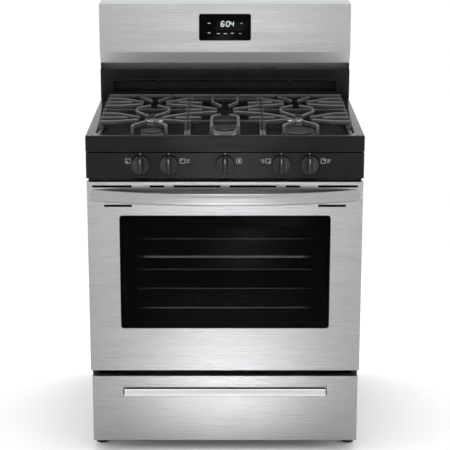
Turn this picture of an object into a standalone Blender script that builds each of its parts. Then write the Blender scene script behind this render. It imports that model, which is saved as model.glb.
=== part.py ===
"""Freestanding gas range, 30 inch class, as an assembly of separate pieces.

Metres, +Z up. The front is -Y and +X is to the right when facing the front.
The origin is on the floor, under the middle of the range's bounding box.
Every depth is measured backwards from the oven door's outer face.
"""
import math

import bmesh
import bpy
from mathutils import Matrix, Vector

# ------------------------------------------------------------------ overall sizes
WIDTH = 0.759               # cooktop, side to side
BODY_DEPTH = 0.654          # door face to the back of the rear cover
COOKTOP_HEIGHT = 0.914      # floor to the cooktop's rim
BACKGUARD_RISE = 0.291      # rim to the top of the backguard
HANDLE_REACH = 0.060        # how far the door handle stands out

# ------------------------------------------------------------------ clearances and sheet
GAP = 0.0003                # between pieces that touch
SLIDE_GAP = 0.0010          # between a sliding piece and its guide
BORE_GAP = 0.0006           # around a shaft that turns or slides, on the radius
SHEET = 0.0010              # pressed steel panels
ROUND_STEPS = 24            # facets around a turned piece

# ------------------------------------------------------------------ front elevation
FASCIA_HEIGHT = 0.044       # cooktop's front skirt
FASCIA_GAP = 0.003          # shadow line under the skirt
CONTROL_HEIGHT = 0.071      # control panel
CONTROL_GAP = 0.010         # recess between the control panel and the door
DRAWER_CLEAR = 0.030        # floor to the drawer front
DRAWER_HEIGHT = 0.194
DRAWER_GAP = 0.017          # recess between the drawer front and the door
CONTROL_INSET = 0.0010      # each front narrower than the cooktop, per side
DOOR_INSET = 0.0020
DRAWER_INSET = 0.0055
SIDE_INSET = 0.0030

# ------------------------------------------------------------------ chassis
FRAME_DEPTH = 0.048         # front frame behind the door's face
FRAME_THICK = 0.002
COVER_DEPTH = 0.014         # rear cover, front to back
FLANGE = 0.018              # bent edge of a side panel
CHASSIS_CLEAR = 0.040       # floor to the base frame
BASE_TALL = 0.020
BASE_BAR = 0.042            # base frame's bars, in plan
STUD_INSET = 0.022          # levelling studs in from the sides
STUD_SETBACK = 0.020        # and from the frame's front and back
FOOT_RADIUS = 0.018
FOOT_TALL = 0.012
STUD_RADIUS = 0.005
STUD_TOP = 0.076
RAIL_RISE = 0.030           # drawer rail's ledge above the base frame
RAIL_TALL = 0.040
RAIL_THICK = 0.002
SERVICE_X = 0.250           # gas inlet and cord bushing, each side of the middle
SERVICE_RISE = 0.110        # above the base frame
GAS_PIPE_RADIUS = 0.012
GAS_PIPE_LENGTH = 0.050
BUSHING_RADIUS = 0.011
BUSHING_BORE = 0.0045

# ------------------------------------------------------------------ oven
CAVITY_SIDE = 0.0745        # cavity in from the cooktop's side
CAVITY_SILL = 0.049         # cavity floor above the door's lower edge
CAVITY_HEAD = 0.046         # cavity ceiling below the door's upper edge
CAVITY_REAR = 0.1115        # cavity's back wall in front of the rear cover
RACK_SIDE_GAP = 0.005
RACK_WIRE = 0.005
RACK_PITCH = 0.043          # lengthwise wires
RACK_SETBACK = 0.040        # rack's front edge behind the oven mouth
RACK_REAR = 0.038           # and its back edge in front of the back wall
RACK_STEP = 0.051           # one ledge to the next
FIRST_LEDGE = 0.050         # lowest ledge above the cavity floor
TOP_LEDGE_DROP = 0.120      # highest ledge at least this far below the ceiling
LOWER_RACK_LEDGE = 1
LEDGE_WIDTH = 0.012
LEDGE_TALL = 0.004
OVEN_FLOOR_RISE = 0.026
OVEN_FLOOR_MARGIN = 0.006   # around the loose oven floor
OVEN_FLOOR_SLOT = 0.012
BURNER_TUBE = 0.009         # radius of the oven burners
BAKE_SPREAD = 0.110         # half the spacing of the bake burner's arms
BROIL_SPREAD = 0.130
BURNER_MARGIN = 0.050       # oven burners in from the cavity's ends
LAMP_SIDE = 0.085           # lamp and probe in from the cavity's sides
LAMP_RADIUS = 0.022
LAMP_TALL = 0.026
LAMP_DROP = 0.070           # below the ceiling
PROBE_RADIUS = 0.003
PROBE_LENGTH = 0.110
GASKET_WIDTH = 0.010
GASKET_MARGIN = 0.004       # outside the cavity's mouth

# ------------------------------------------------------------------ cooktop
RIM_SIDE = 0.029            # flat ledge around the well
RIM_FRONT = 0.020
WELL_DEPTH = 0.038
WELL_BACK_GAP = 0.005       # well stops this far in front of the backguard
BURNER_OFFSET = 0.103       # burner from the centre grate's edge
FRONT_BURNER_DEPTH = 0.172
REAR_BURNER_SETBACK = 0.138  # rear burners in front of the backguard
CAP_RADII = {
    "front_left": 0.031,
    "front_right": 0.0475,
    "rear_left": 0.029,
    "rear_right": 0.0235,
}
OVAL_CAP_RADIUS = 0.031
OVAL_CAP_LENGTH = 0.226
CAP_TALL = 0.0065
CAP_TOP_RISE = 0.021        # cap's top above the well
HEAD_LIP = 0.002            # burner head's flange beyond its cap
HEAD_LIP_TALL = 0.004
HEAD_RING_INSET = 0.001     # ring of flame ports inside the cap's edge
THROAT_INSET = 0.010        # throat inside the cap's edge
THROAT_DROP = 0.022         # throat below the well

# ------------------------------------------------------------------ grates
CENTRE_GRATE_WIDTH = 0.208
GRATE_RISE = 0.020          # grate's top above the rim
GRATE_BAR = 0.009
GRATE_BAR_TALL = 0.012
GRATE_RAIL_TALL = 0.012
GRATE_RAIL_DROP = 0.025     # low rail's top below the grate's top
GRATE_SIDE_GAP = 0.0005     # from the well's wall
GRATE_BACK_GAP = 0.0085     # back bar in front of the well's back wall
GRATE_FRONT_GAP = 0.015
GRATE_FOOT = 0.010
FINGER_ROOTS = (-0.056, 0.062)  # side fingers' roots, from the burner's depth
FINGER_TIPS = (-0.030, 0.006)   # and their tips
FINGER_TIP_X = 0.034        # tip from the burner's axis
FINGER_STRAIGHT = 0.0405    # straight part at an outer finger's root
SHORT_TIP_X = 0.066         # short middle finger's tip
FORK_SPREAD = 0.046         # lengthwise fingers, half their spacing
FORK_TIP_X = 0.010
FORK_TIPS = (-0.049, 0.027)
FORK_STRAIGHT = 0.027       # straight part at a lengthwise finger's root
CENTRE_BARS_X = 0.037       # centre grate's lengthwise bars
CENTRE_TIP_X = 0.012
CENTRE_TIPS = (0.073, 0.065)    # in front of and behind the middle
CENTRE_BENDS = (0.099, 0.124)
CENTRE_CROSS = (0.168, 0.175)   # full cross bars
CENTRE_FINGER_ROOTS = (0.056, 0.066)
CENTRE_FINGER_TIPS = (0.027, 0.012)
CENTRE_FINGER_X = 0.023
CENTRE_SHORTS = (-0.118, 0.0, 0.114)

# ------------------------------------------------------------------ controls
KNOB_POSITIONS = (-0.230, -0.153, 0.0, 0.153, 0.230)
KNOB_RISE = 0.040           # knob's axis above the control panel's lower edge
KNOB_RADIUS = 0.025
KNOB_BASE = 0.010           # round skirt of the knob
KNOB_TALL = 0.024
GRIP_WIDTH = 0.0155
KNOB_TRAVEL = 0.003         # push before it turns
KNOB_GAP = 0.0015           # left behind a pushed knob
STEM_RADIUS = 0.004
STEM_IN_KNOB = 0.007
STEM_IN_VALVE = 0.004
VALVE_RADIUS = 0.012
VALVE_FRONT = 0.030         # depth of a valve's front face
MANIFOLD_SIDE = 0.020

# ------------------------------------------------------------------ backguard
BACKGUARD_DEPTH = 0.106     # stainless face to the back of the range
FACE_HEIGHT = 0.145
FACET_HEIGHT = 0.035        # slanted lower facet
FACET_RUN = 0.022
LOWER_SETBACK = 0.012       # vent panel behind the stainless face
VENT_INSET = 0.0405         # vent's end in from the backguard's side
VENT_LOW = 0.023            # vent above the rim
VENT_HIGH = 0.054
GLASS_WIDTH = 0.156
GLASS_HEIGHT = 0.080
GLASS_DROP = 0.030          # glass below the backguard's top
GLASS_THICK = 0.003
GLASS_CORNER = 0.006
BOARD_THICK = 0.030
BOARD_MARGIN = 0.005        # display board beyond the glass
BACKGUARD_INSET = 0.0010
VENT_PANEL_TALL = 0.092

# ------------------------------------------------------------------ door
DOOR_SKIN_DEPTH = 0.024
HINGE_RISE = 0.017          # hinge axis above the door's lower edge
PIN_RADIUS = 0.004
PIN_LENGTH = 0.040
HINGE_INSET = 0.045         # hinge's middle from the door's side
RECEIVER_RADIUS = 0.0075    # eye of the frame's hinge bracket
RECEIVER_WIDTH = 0.012
CHEEK_X = 0.016             # door's hinge cheeks from the bracket's middle
CHEEK_THICK = 0.003
CHEEK_TALL = 0.050
LINER_RISE = 0.027          # inner panel above the door's lower edge
LINER_DROP = 0.016
LINER_SIDE = 0.035
GASKET_THICK = 0.0044       # between the inner panel and the front frame
WINDOW_SIDE = 0.0875        # glass in from the door's side
WINDOW_SILL = 0.125         # glass above the door's lower edge
WINDOW_HEAD = 0.095
WINDOW_CORNER = 0.008
WINDOW_THICK = 0.0035
INNER_GLASS_MARGIN = 0.045  # inner glass inside the window
HANDLE_INSET = 0.0075       # handle's end in from the door's side
HANDLE_TALL = 0.033
HANDLE_DROP = 0.021         # handle below the door's upper edge
HANDLE_THICK = 0.012
HANDLE_BOW = 2.6            # exponent of the handle's bow
SLOT_TALL = 0.006
INNER_SLOTS = ((0.0125, 0.140), (0.166, 0.205))  # from the door's middle
OUTER_SLOT = (0.0145, 0.1225)   # from the door's side
LOW_SLOT = (0.0465, 0.1225)
TOP_SLOT_DROP = 0.0125
LOW_SLOT_DROP = 0.067

# ------------------------------------------------------------------ drawer
PULL_WIDTH = 0.576
PULL_TALL = 0.038
PULL_DROP = 0.023           # finger pull below the drawer front's top
PULL_DEPTH = 0.020
PULL_CORNER = 0.0065
PAN_SIDE = 0.050            # drawer pan in from the drawer front's side
RUNNER_WIDTH = 0.010
PAN_RISE = 0.008            # pan above the base frame
PAN_TALL = 0.122
PAN_REAR = 0.118            # pan's back in front of the base frame's

# ------------------------------------------------------------------ derived places
HALF = WIDTH / 2
FRONT_Y = -(BODY_DEPTH - HANDLE_REACH) / 2
FASCIA_BOTTOM = COOKTOP_HEIGHT - FASCIA_HEIGHT
CONTROL_TOP = FASCIA_BOTTOM - FASCIA_GAP
CONTROL_BOTTOM = CONTROL_TOP - CONTROL_HEIGHT
DOOR_TOP = CONTROL_BOTTOM - CONTROL_GAP
DRAWER_TOP = DRAWER_CLEAR + DRAWER_HEIGHT
DOOR_BOTTOM = DRAWER_TOP + DRAWER_GAP
TOTAL_HEIGHT = COOKTOP_HEIGHT + BACKGUARD_RISE

SIDE_X = HALF - SIDE_INSET
COVER_FRONT = BODY_DEPTH - COVER_DEPTH
FRAME_BACK = FRAME_DEPTH + FRAME_THICK
BASE_TOP = CHASSIS_CLEAR + BASE_TALL
BASE_FRONT = FRAME_BACK + GAP
BASE_BACK = COVER_FRONT - GAP
FRAME_BOTTOM = DRAWER_TOP + 0.004

CAVITY_HALF = HALF - CAVITY_SIDE
CAVITY_FLOOR = DOOR_BOTTOM + CAVITY_SILL
CAVITY_CEILING = DOOR_TOP - CAVITY_HEAD
CAVITY_FRONT = FRAME_BACK + GAP
CAVITY_BACK = COVER_FRONT - CAVITY_REAR
LAMP_X = CAVITY_HALF - LAMP_SIDE
LEDGE_SPAN = CAVITY_CEILING - CAVITY_FLOOR - FIRST_LEDGE - TOP_LEDGE_DROP
LEDGE_COUNT = 1 + int(LEDGE_SPAN / RACK_STEP)
UPPER_RACK_LEDGE = max(LEDGE_COUNT - 2, LOWER_RACK_LEDGE + 1)
LINER_BACK = FRAME_DEPTH - GASKET_THICK - 2 * GAP

BACKGUARD_SETBACK = BODY_DEPTH - BACKGUARD_DEPTH
BACKGUARD_HALF = HALF - BACKGUARD_INSET
WELL_FLOOR = COOKTOP_HEIGHT - WELL_DEPTH
WELL_HALF = HALF - RIM_SIDE
WELL_BACK = BACKGUARD_SETBACK - WELL_BACK_GAP
GRATE_TOP = COOKTOP_HEIGHT + GRATE_RISE
SIDE_BURNER_X = CENTRE_GRATE_WIDTH / 2 + BURNER_OFFSET
REAR_BURNER_DEPTH = BACKGUARD_SETBACK - REAR_BURNER_SETBACK
MIDDLE_DEPTH = (FRONT_BURNER_DEPTH + REAR_BURNER_DEPTH) / 2
KNOB_Z = CONTROL_BOTTOM + KNOB_RISE
HINGE_Z = DOOR_BOTTOM + HINGE_RISE
DOOR_HALF = HALF - DOOR_INSET
HANDLE_HALF = DOOR_HALF - HANDLE_INSET
HINGE_X = DOOR_HALF - HINGE_INSET
HANDLE_Z = DOOR_TOP - HANDLE_DROP - HANDLE_TALL / 2
DRAWER_HALF = HALF - DRAWER_INSET
PAN_HALF = DRAWER_HALF - PAN_SIDE
RAIL_X = PAN_HALF + RUNNER_WIDTH + 2 * SLIDE_GAP

# ------------------------------------------------------------------ finishes
# colour, roughness, metallic
STAINLESS = ((0.62, 0.62, 0.63), 0.32, 1.0)
GALVANISED = ((0.48, 0.50, 0.51), 0.45, 1.0)
BLACK_ENAMEL = ((0.012, 0.012, 0.013), 0.18, 0.0)
BLACK_PAINT = ((0.025, 0.027, 0.027), 0.40, 0.0)
BLACK_PLASTIC = ((0.015, 0.015, 0.016), 0.35, 0.0)
OVEN_ENAMEL = ((0.030, 0.032, 0.040), 0.25, 0.0)
CAST_IRON = ((0.050, 0.050, 0.052), 0.65, 0.2)
ALUMINIUM = ((0.60, 0.60, 0.60), 0.40, 1.0)
CHROME = ((0.75, 0.75, 0.76), 0.12, 1.0)
BRASS = ((0.65, 0.48, 0.20), 0.30, 1.0)
BLACK_GLASS = ((0.006, 0.006, 0.007), 0.05, 0.0)
CLEAR_GLASS = ((0.10, 0.11, 0.11), 0.05, 0.0)
GASKET_BRAID = ((0.12, 0.12, 0.11), 0.85, 0.0)
BOARD_GREEN = ((0.03, 0.16, 0.07), 0.50, 0.0)


# ------------------------------------------------------------------ modelling helpers
def collection(name):
    """A new collection in the scene."""
    group = bpy.data.collections.new(name)
    bpy.context.scene.collection.children.link(group)
    return group


def at_depth(depth):
    """World Y of a depth behind the door's face."""
    return FRONT_Y + depth


def span(half):
    """Both ends of a length centred on zero."""
    return (-half, half)


def finish(obj, look):
    """Give an object its own Principled material."""
    colour, roughness, metallic = look
    material = bpy.data.materials.new(obj.name + "_finish")
    material.use_nodes = True
    shader = material.node_tree.nodes["Principled BSDF"]
    shader.inputs["Base Color"].default_value = (*colour, 1.0)
    shader.inputs["Roughness"].default_value = roughness
    shader.inputs["Metallic"].default_value = metallic
    obj.data.materials.clear()
    obj.data.materials.append(material)


def part(obj, look):
    """Put a finished piece in the range's collection."""
    for group in obj.users_collection:
        group.objects.unlink(obj)
    RANGE.objects.link(obj)
    finish(obj, look)
    return obj


def new_object(name, data):
    """An object in the cutters' collection, until it becomes a part."""
    obj = bpy.data.objects.new(name, data)
    CUTTERS.objects.link(obj)
    return obj


def mesh_object(name, bm):
    """An object from a bmesh, which is freed."""
    mesh = bpy.data.meshes.new(name)
    bm.to_mesh(mesh)
    bm.free()
    return new_object(name, mesh)


def box(name, x, depth, z):
    """A box between two x, two depths and two heights, with its origin in its middle."""
    size = (x[1] - x[0], depth[1] - depth[0], z[1] - z[0])
    bm = bmesh.new()
    bmesh.ops.create_cube(bm, size=1.0, matrix=Matrix.Diagonal((*size, 1.0)))
    obj = mesh_object(name, bm)
    obj.location = (sum(x) / 2, at_depth(sum(depth) / 2), sum(z) / 2)
    return obj


def open_box(name, x, depth, z, wall, opening):
    """A box without the side that faces `opening`, its walls thickened inwards."""
    obj = box(name, x, depth, z)
    bm = bmesh.new()
    bm.from_mesh(obj.data)
    bm.normal_update()
    lid = [face for face in bm.faces if face.normal.dot(Vector(opening)) > 0.9]
    bmesh.ops.delete(bm, geom=lid, context="FACES")
    bm.to_mesh(obj.data)
    bm.free()
    shell = obj.modifiers.new("wall", "SOLIDIFY")
    shell.thickness = wall
    shell.offset = -1.0
    shell.use_even_offset = True
    return obj


def cylinder(name, radius, length, centre, axis="Z", steps=ROUND_STEPS):
    """A round bar centred on (x, depth, z), along one axis."""
    turn = {"X": Matrix.Rotation(math.pi / 2, 4, "Y"), "Y": Matrix.Rotation(math.pi / 2, 4, "X")}
    bm = bmesh.new()
    bmesh.ops.create_cone(
        bm,
        cap_ends=True,
        segments=steps,
        radius1=radius,
        radius2=radius,
        depth=length,
        matrix=turn.get(axis, Matrix()),
    )
    obj = mesh_object(name, bm)
    obj.location = (centre[0], at_depth(centre[1]), centre[2])
    obj.data.shade_smooth()
    obj.data.set_sharp_from_angle(angle=math.radians(40))
    return obj


def turned(name, profile, centre, forward=False, steps=ROUND_STEPS):
    """A turned solid: (radius, height) pairs from the top of its axis down to the bottom.

    It stands upright on (x, depth, z), or with `forward` its top points to the front.
    """
    mesh = bpy.data.meshes.new(name)
    edges = [(i, i + 1) for i in range(len(profile) - 1)]
    mesh.from_pydata([(r, 0.0, h) for r, h in profile], edges, [])
    obj = new_object(name, mesh)
    obj.location = (centre[0], at_depth(centre[1]), centre[2])
    if forward:
        obj.rotation_euler = (math.pi / 2, 0.0, 0.0)
    screw = obj.modifiers.new("turn", "SCREW")
    screw.steps = steps
    screw.render_steps = steps
    screw.use_merge_vertices = True
    screw.merge_threshold = 0.00001
    screw.use_smooth_shade = False
    return obj


def plate(name, outlines, thickness, centre, plane="XZ"):
    """A flat outline with holes, extruded by its thickness about (x, depth, z).

    `outlines` are lists of 2D points; the first is the edge and the others are holes.
    Plane XZ faces the front; XY lies flat and YZ stands sideways, both with depth along Y.
    """
    turn = {
        "XZ": (math.pi / 2, 0.0, 0.0),
        "XY": (0.0, 0.0, 0.0),
        "YZ": (math.pi / 2, 0.0, math.pi / 2),
    }
    curve = bpy.data.curves.new(name, "CURVE")
    curve.dimensions = "2D"
    curve.fill_mode = "BOTH"
    curve.extrude = thickness / 2
    for outline in outlines:
        spline = curve.splines.new("POLY")
        spline.points.add(len(outline) - 1)
        spline.use_cyclic_u = True
        for point, (u, v) in zip(spline.points, outline):
            point.co = (u, v, 0.0, 1.0)
    obj = new_object(name, curve)
    obj.rotation_euler = turn[plane]
    obj.location = (centre[0], at_depth(centre[1]), centre[2])
    return obj


def tube(name, points, radius, closed=False, resolution=1):
    """A round wire along (x, depth, z) points."""
    curve = bpy.data.curves.new(name, "CURVE")
    curve.dimensions = "3D"
    curve.bevel_depth = radius
    curve.bevel_resolution = resolution
    curve.use_fill_caps = True
    spline = curve.splines.new("POLY")
    spline.points.add(len(points) - 1)
    spline.use_cyclic_u = closed
    for point, (x, depth, z) in zip(spline.points, points):
        point.co = (x, at_depth(depth), z, 1.0)
    return new_object(name, curve)


def as_mesh(obj):
    """The same piece as a mesh, with its caps welded on."""
    bpy.context.view_layer.update()
    name = obj.name
    evaluated = obj.evaluated_get(bpy.context.evaluated_depsgraph_get())
    mesh = bpy.data.meshes.new_from_object(evaluated)
    place = obj.matrix_world.copy()
    bpy.data.objects.remove(obj)
    bm = bmesh.new()
    bm.from_mesh(mesh)
    bmesh.ops.remove_doubles(bm, verts=bm.verts, dist=0.00001)
    bmesh.ops.recalc_face_normals(bm, faces=bm.faces)
    bm.to_mesh(mesh)
    bm.free()
    solid = new_object(name, mesh)
    solid.matrix_world = place
    return solid


def boolean(obj, tool, operation):
    """Cut a tool from a piece, or join it on, and hide the tool."""
    tool.name = f"{obj.name}_{operation.lower()}_{len(obj.modifiers)}"
    tool.hide_render = True
    tool.display_type = "WIRE"
    change = obj.modifiers.new(tool.name, "BOOLEAN")
    change.operation = operation
    change.solver = "EXACT"
    change.object = tool
    return obj


def cut(obj, *tools):
    for tool in tools:
        boolean(obj, tool, "DIFFERENCE")
    return obj


def join(obj, *tools):
    for tool in tools:
        boolean(obj, tool, "UNION")
    return obj


def soften(obj, width, segments=1):
    """Round a piece's edges."""
    bevel = obj.modifiers.new("round", "BEVEL")
    bevel.width = width
    bevel.segments = segments
    bevel.limit_method = "ANGLE"
    bevel.angle_limit = math.radians(40)
    return obj


def arc(centre, radius, start, end, count):
    """Points along an arc; the angles are in degrees."""
    angles = [math.radians(start + (end - start) * i / count) for i in range(count + 1)]
    return [(centre[0] + radius * math.cos(a), centre[1] + radius * math.sin(a)) for a in angles]


def rectangle(x, y):
    return [(x[0], y[0]), (x[1], y[0]), (x[1], y[1]), (x[0], y[1])]


def rounded(x, y, radius, count=3):
    """A rectangle with round corners."""
    points = []
    points += arc((x[1] - radius, y[0] + radius), radius, -90, 0, count)
    points += arc((x[1] - radius, y[1] - radius), radius, 0, 90, count)
    points += arc((x[0] + radius, y[1] - radius), radius, 90, 180, count)
    points += arc((x[0] + radius, y[0] + radius), radius, 180, 270, count)
    return points


def stadium(radius, length, count=8):
    """A slot shape with round ends, its long axis along Y."""
    reach = length / 2 - radius
    return arc((0.0, reach), radius, 0, 180, count) + arc((0.0, -reach), radius, 180, 360, count)


def pivot(name, location):
    """An empty on a joint's axis."""
    empty = bpy.data.objects.new(name, None)
    empty.location = location
    RANGE.objects.link(empty)
    return empty


def hang(empty, *pieces):
    """Parent pieces to an empty without moving them."""
    for piece in pieces:
        piece.parent = empty
        piece.matrix_parent_inverse = Matrix.Translation(empty.location).inverted()


def ribbon(points, width):
    """The outline of a strip of one width that follows a line, with mitred bends."""
    path = [Vector(point) for point in points]
    sides = ([], [])
    for i, here in enumerate(path):
        before = (here - path[max(i - 1, 0)]).normalized()
        after = (path[min(i + 1, len(path) - 1)] - here).normalized()
        along = (before + after).normalized()
        across = Vector((-along.y, along.x))
        straight = after if after.length > 0 else before
        reach = width / 2 / max(abs(across.dot(Vector((-straight.y, straight.x)))), 0.3)
        sides[0].append(tuple(here + across * reach))
        sides[1].append(tuple(here - across * reach))
    return sides[0] + sides[1][::-1]


# ------------------------------------------------------------------ chassis
def build_chassis():
    for side, name in ((-1, "side_panel_left"), (1, "side_panel_right")):
        edge = [
            (side * (SIDE_X - FLANGE), BASE_FRONT + SHEET / 2),
            (side * (SIDE_X - SHEET / 2), BASE_FRONT + SHEET / 2),
            (side * (SIDE_X - SHEET / 2), BASE_BACK - SHEET / 2),
            (side * (SIDE_X - FLANGE), BASE_BACK - SHEET / 2),
        ]
        low = BASE_TOP + GAP
        high = FASCIA_BOTTOM - GAP
        panel = plate(name, [ribbon(edge, SHEET)], high - low, (0.0, 0.0, (low + high) / 2), "XY")
        part(panel, BLACK_PAINT)
    build_rear_cover()
    build_base_frame()
    build_front_frame()


def build_rear_cover():
    cover = open_box(
        "rear_cover",
        span(SIDE_X),
        (COVER_FRONT, BODY_DEPTH),
        (CHASSIS_CLEAR, COOKTOP_HEIGHT),
        SHEET,
        (0, -1, 0),
    )
    z = BASE_TOP + SERVICE_RISE
    for x, radius in ((SERVICE_X, GAS_PIPE_RADIUS), (-SERVICE_X, BUSHING_RADIUS)):
        cut(cover, cylinder("hole", radius + GAP, 0.02, (x, BODY_DEPTH, z), "Y"))
    part(cover, GALVANISED)

    inlet = cylinder(
        "gas_inlet",
        GAS_PIPE_RADIUS,
        GAS_PIPE_LENGTH,
        (SERVICE_X, BODY_DEPTH - GAS_PIPE_LENGTH / 2, z),
        "Y",
    )
    part(inlet, BRASS)
    flange = BUSHING_RADIUS + 0.003
    behind = COVER_DEPTH - SHEET - GAP
    bushing = turned(
        "power_cord_bushing",
        [
            (0.0, 0.010),
            (flange, 0.010),
            (flange, behind - 0.010),
            (BUSHING_RADIUS, behind - 0.010),
            (BUSHING_RADIUS, -COVER_DEPTH + behind),
            (BUSHING_BORE, -COVER_DEPTH + behind),
            (BUSHING_BORE, 0.0),
            (0.0, 0.0),
        ],
        (-SERVICE_X, COVER_FRONT + behind, z),
        forward=True,
        steps=16,
    )
    part(bushing, BLACK_PLASTIC)


def foot_places():
    """Names and (x, depth) of the four levelling feet."""
    depths = {"front": BASE_FRONT + STUD_SETBACK, "rear": BASE_BACK - STUD_SETBACK}
    sides = {"left": -(SIDE_X - STUD_INSET), "right": SIDE_X - STUD_INSET}
    return [(f"{row}_{side}", x, d) for row, d in depths.items() for side, x in sides.items()]


def build_base_frame():
    """A flat ring of channel with the drawer's two rails on it."""
    outlines = [
        rectangle(span(SIDE_X), (BASE_FRONT, BASE_BACK)),
        rectangle(span(SIDE_X - BASE_BAR), (BASE_FRONT + BASE_BAR, BASE_BACK - BASE_BAR)),
    ]
    for _, x, depth in foot_places():
        outlines.append(arc((x, depth), STUD_RADIUS + BORE_GAP, 0, 330, 11))
    middle = (CHASSIS_CLEAR + BASE_TOP) / 2
    frame = as_mesh(plate("base_frame", outlines, BASE_TALL, (0.0, 0.0, middle), "XY"))
    ledge = BASE_TOP + RAIL_RISE
    for side in (-1, 1):
        wall = sorted((side * RAIL_X, side * (RAIL_X + RAIL_THICK)))
        shelf = sorted((side * (PAN_HALF + SLIDE_GAP), side * (RAIL_X + RAIL_THICK)))
        length = (BASE_FRONT + 0.004, BASE_BACK - 0.004)
        join(
            frame,
            box("wall", wall, length, (BASE_TOP - 0.002, BASE_TOP + RAIL_TALL)),
            box("shelf", shelf, length, (ledge - RAIL_THICK, ledge)),
        )
    part(frame, GALVANISED)

    for name, x, depth in foot_places():
        foot = turned(
            f"leveling_foot_{name}",
            [
                (0.0, STUD_TOP),
                (STUD_RADIUS, STUD_TOP),
                (STUD_RADIUS, FOOT_TALL),
                (FOOT_RADIUS * 0.6, FOOT_TALL),
                (FOOT_RADIUS, FOOT_TALL * 0.4),
                (FOOT_RADIUS, 0.0),
                (0.0, 0.0),
            ],
            (x, depth, 0.0),
            steps=12,
        )
        part(foot, BLACK_PLASTIC)


def build_front_frame():
    """The face that the oven's mouth, the valves and the door's hinges are set in."""
    top = WELL_FLOOR - SHEET - GAP
    outlines = [
        rectangle(span(SIDE_X), (FRAME_BOTTOM, top)),
        rounded(span(CAVITY_HALF), (CAVITY_FLOOR, CAVITY_CEILING), 0.012),
    ]
    for x in KNOB_POSITIONS:
        outlines.append(arc((x, KNOB_Z), VALVE_RADIUS + SLIDE_GAP, 0, 337.5, 15))
    middle = FRAME_DEPTH + FRAME_THICK / 2
    frame = as_mesh(plate("front_frame", outlines, FRAME_THICK, (0.0, middle, 0.0), "XZ"))
    for side in (-1, 1):
        x = side * HINGE_X
        width = (x - RECEIVER_WIDTH / 2, x + RECEIVER_WIDTH / 2)
        half = RECEIVER_RADIUS * 0.9
        arm = box("arm", width, (DOOR_SKIN_DEPTH, FRAME_DEPTH + 0.001), (HINGE_Z - half, HINGE_Z + half))
        axis = (x, DOOR_SKIN_DEPTH, HINGE_Z)
        join(frame, arm, cylinder("eye", RECEIVER_RADIUS, RECEIVER_WIDTH, axis, "X", 16))
        cut(frame, cylinder("bore", PIN_RADIUS + BORE_GAP, RECEIVER_WIDTH * 2, axis, "X", 16))
    part(frame, BLACK_ENAMEL)


# ------------------------------------------------------------------ oven
def ledge_height(index):
    """Top of a rack ledge."""
    return CAVITY_FLOOR + FIRST_LEDGE + index * RACK_STEP


def build_oven():
    liner = open_box(
        "oven_liner",
        span(CAVITY_HALF + SHEET),
        (CAVITY_FRONT, CAVITY_BACK + SHEET),
        (CAVITY_FLOOR - SHEET, CAVITY_CEILING + SHEET),
        SHEET,
        (0, -1, 0),
    )
    for side in (-1, 1):
        for index in range(LEDGE_COUNT):
            top = ledge_height(index)
            reach = sorted((side * (CAVITY_HALF - LEDGE_WIDTH), side * (CAVITY_HALF + SHEET / 2)))
            length = (CAVITY_FRONT + 0.010, CAVITY_BACK - 0.010)
            join(liner, box("ledge", reach, length, (top - LEDGE_TALL, top)))
    part(liner, OVEN_ENAMEL)

    floor = open_box(
        "oven_floor",
        span(CAVITY_HALF - OVEN_FLOOR_MARGIN),
        (CAVITY_FRONT + OVEN_FLOOR_MARGIN, CAVITY_BACK - OVEN_FLOOR_MARGIN),
        (CAVITY_FLOOR + GAP, CAVITY_FLOOR + OVEN_FLOOR_RISE),
        SHEET,
        (0, 0, -1),
    )
    top = (CAVITY_FLOOR + OVEN_FLOOR_RISE / 2, CAVITY_FLOOR + OVEN_FLOOR_RISE * 2)
    for start in (CAVITY_FRONT + 0.030, CAVITY_BACK - 0.030 - OVEN_FLOOR_SLOT):
        slot = box("slot", span(CAVITY_HALF - 0.080), (start, start + OVEN_FLOOR_SLOT), top)
        cut(floor, slot)
    part(floor, OVEN_ENAMEL)

    build_oven_burner("bake_burner", BAKE_SPREAD, CAVITY_FLOOR + BURNER_TUBE + GAP)
    build_oven_burner("broil_burner", BROIL_SPREAD, CAVITY_CEILING - BURNER_TUBE - GAP)

    wall = CAVITY_BACK - GAP
    lamp = turned(
        "oven_lamp",
        [
            (0.0, LAMP_TALL),
            (LAMP_RADIUS * 0.45, LAMP_TALL * 0.92),
            (LAMP_RADIUS * 0.8, LAMP_TALL * 0.60),
            (LAMP_RADIUS * 0.86, LAMP_TALL * 0.25),
            (LAMP_RADIUS, LAMP_TALL * 0.2),
            (LAMP_RADIUS, 0.0),
            (0.0, 0.0),
        ],
        (LAMP_X, wall, CAVITY_CEILING - LAMP_DROP),
        forward=True,
        steps=16,
    )
    part(lamp, CLEAR_GLASS)
    probe = cylinder(
        "temperature_probe",
        PROBE_RADIUS,
        PROBE_LENGTH,
        (-LAMP_X, wall - PROBE_LENGTH / 2, CAVITY_CEILING - LAMP_DROP),
        "Y",
        10,
    )
    part(probe, CHROME)

    inner = GASKET_MARGIN
    outer = GASKET_MARGIN + GASKET_WIDTH
    outlines = [
        rounded(
            span(CAVITY_HALF + grow),
            (CAVITY_FLOOR - grow, CAVITY_CEILING + grow),
            0.012 + grow,
        )
        for grow in (outer, inner)
    ]
    middle = (FRAME_DEPTH + LINER_BACK) / 2
    part(plate("oven_gasket", outlines, GASKET_THICK, (0.0, middle, 0.0), "XZ"), GASKET_BRAID)

    build_rack("oven_rack_lower", LOWER_RACK_LEDGE)
    build_rack("oven_rack_upper", UPPER_RACK_LEDGE)


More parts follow.
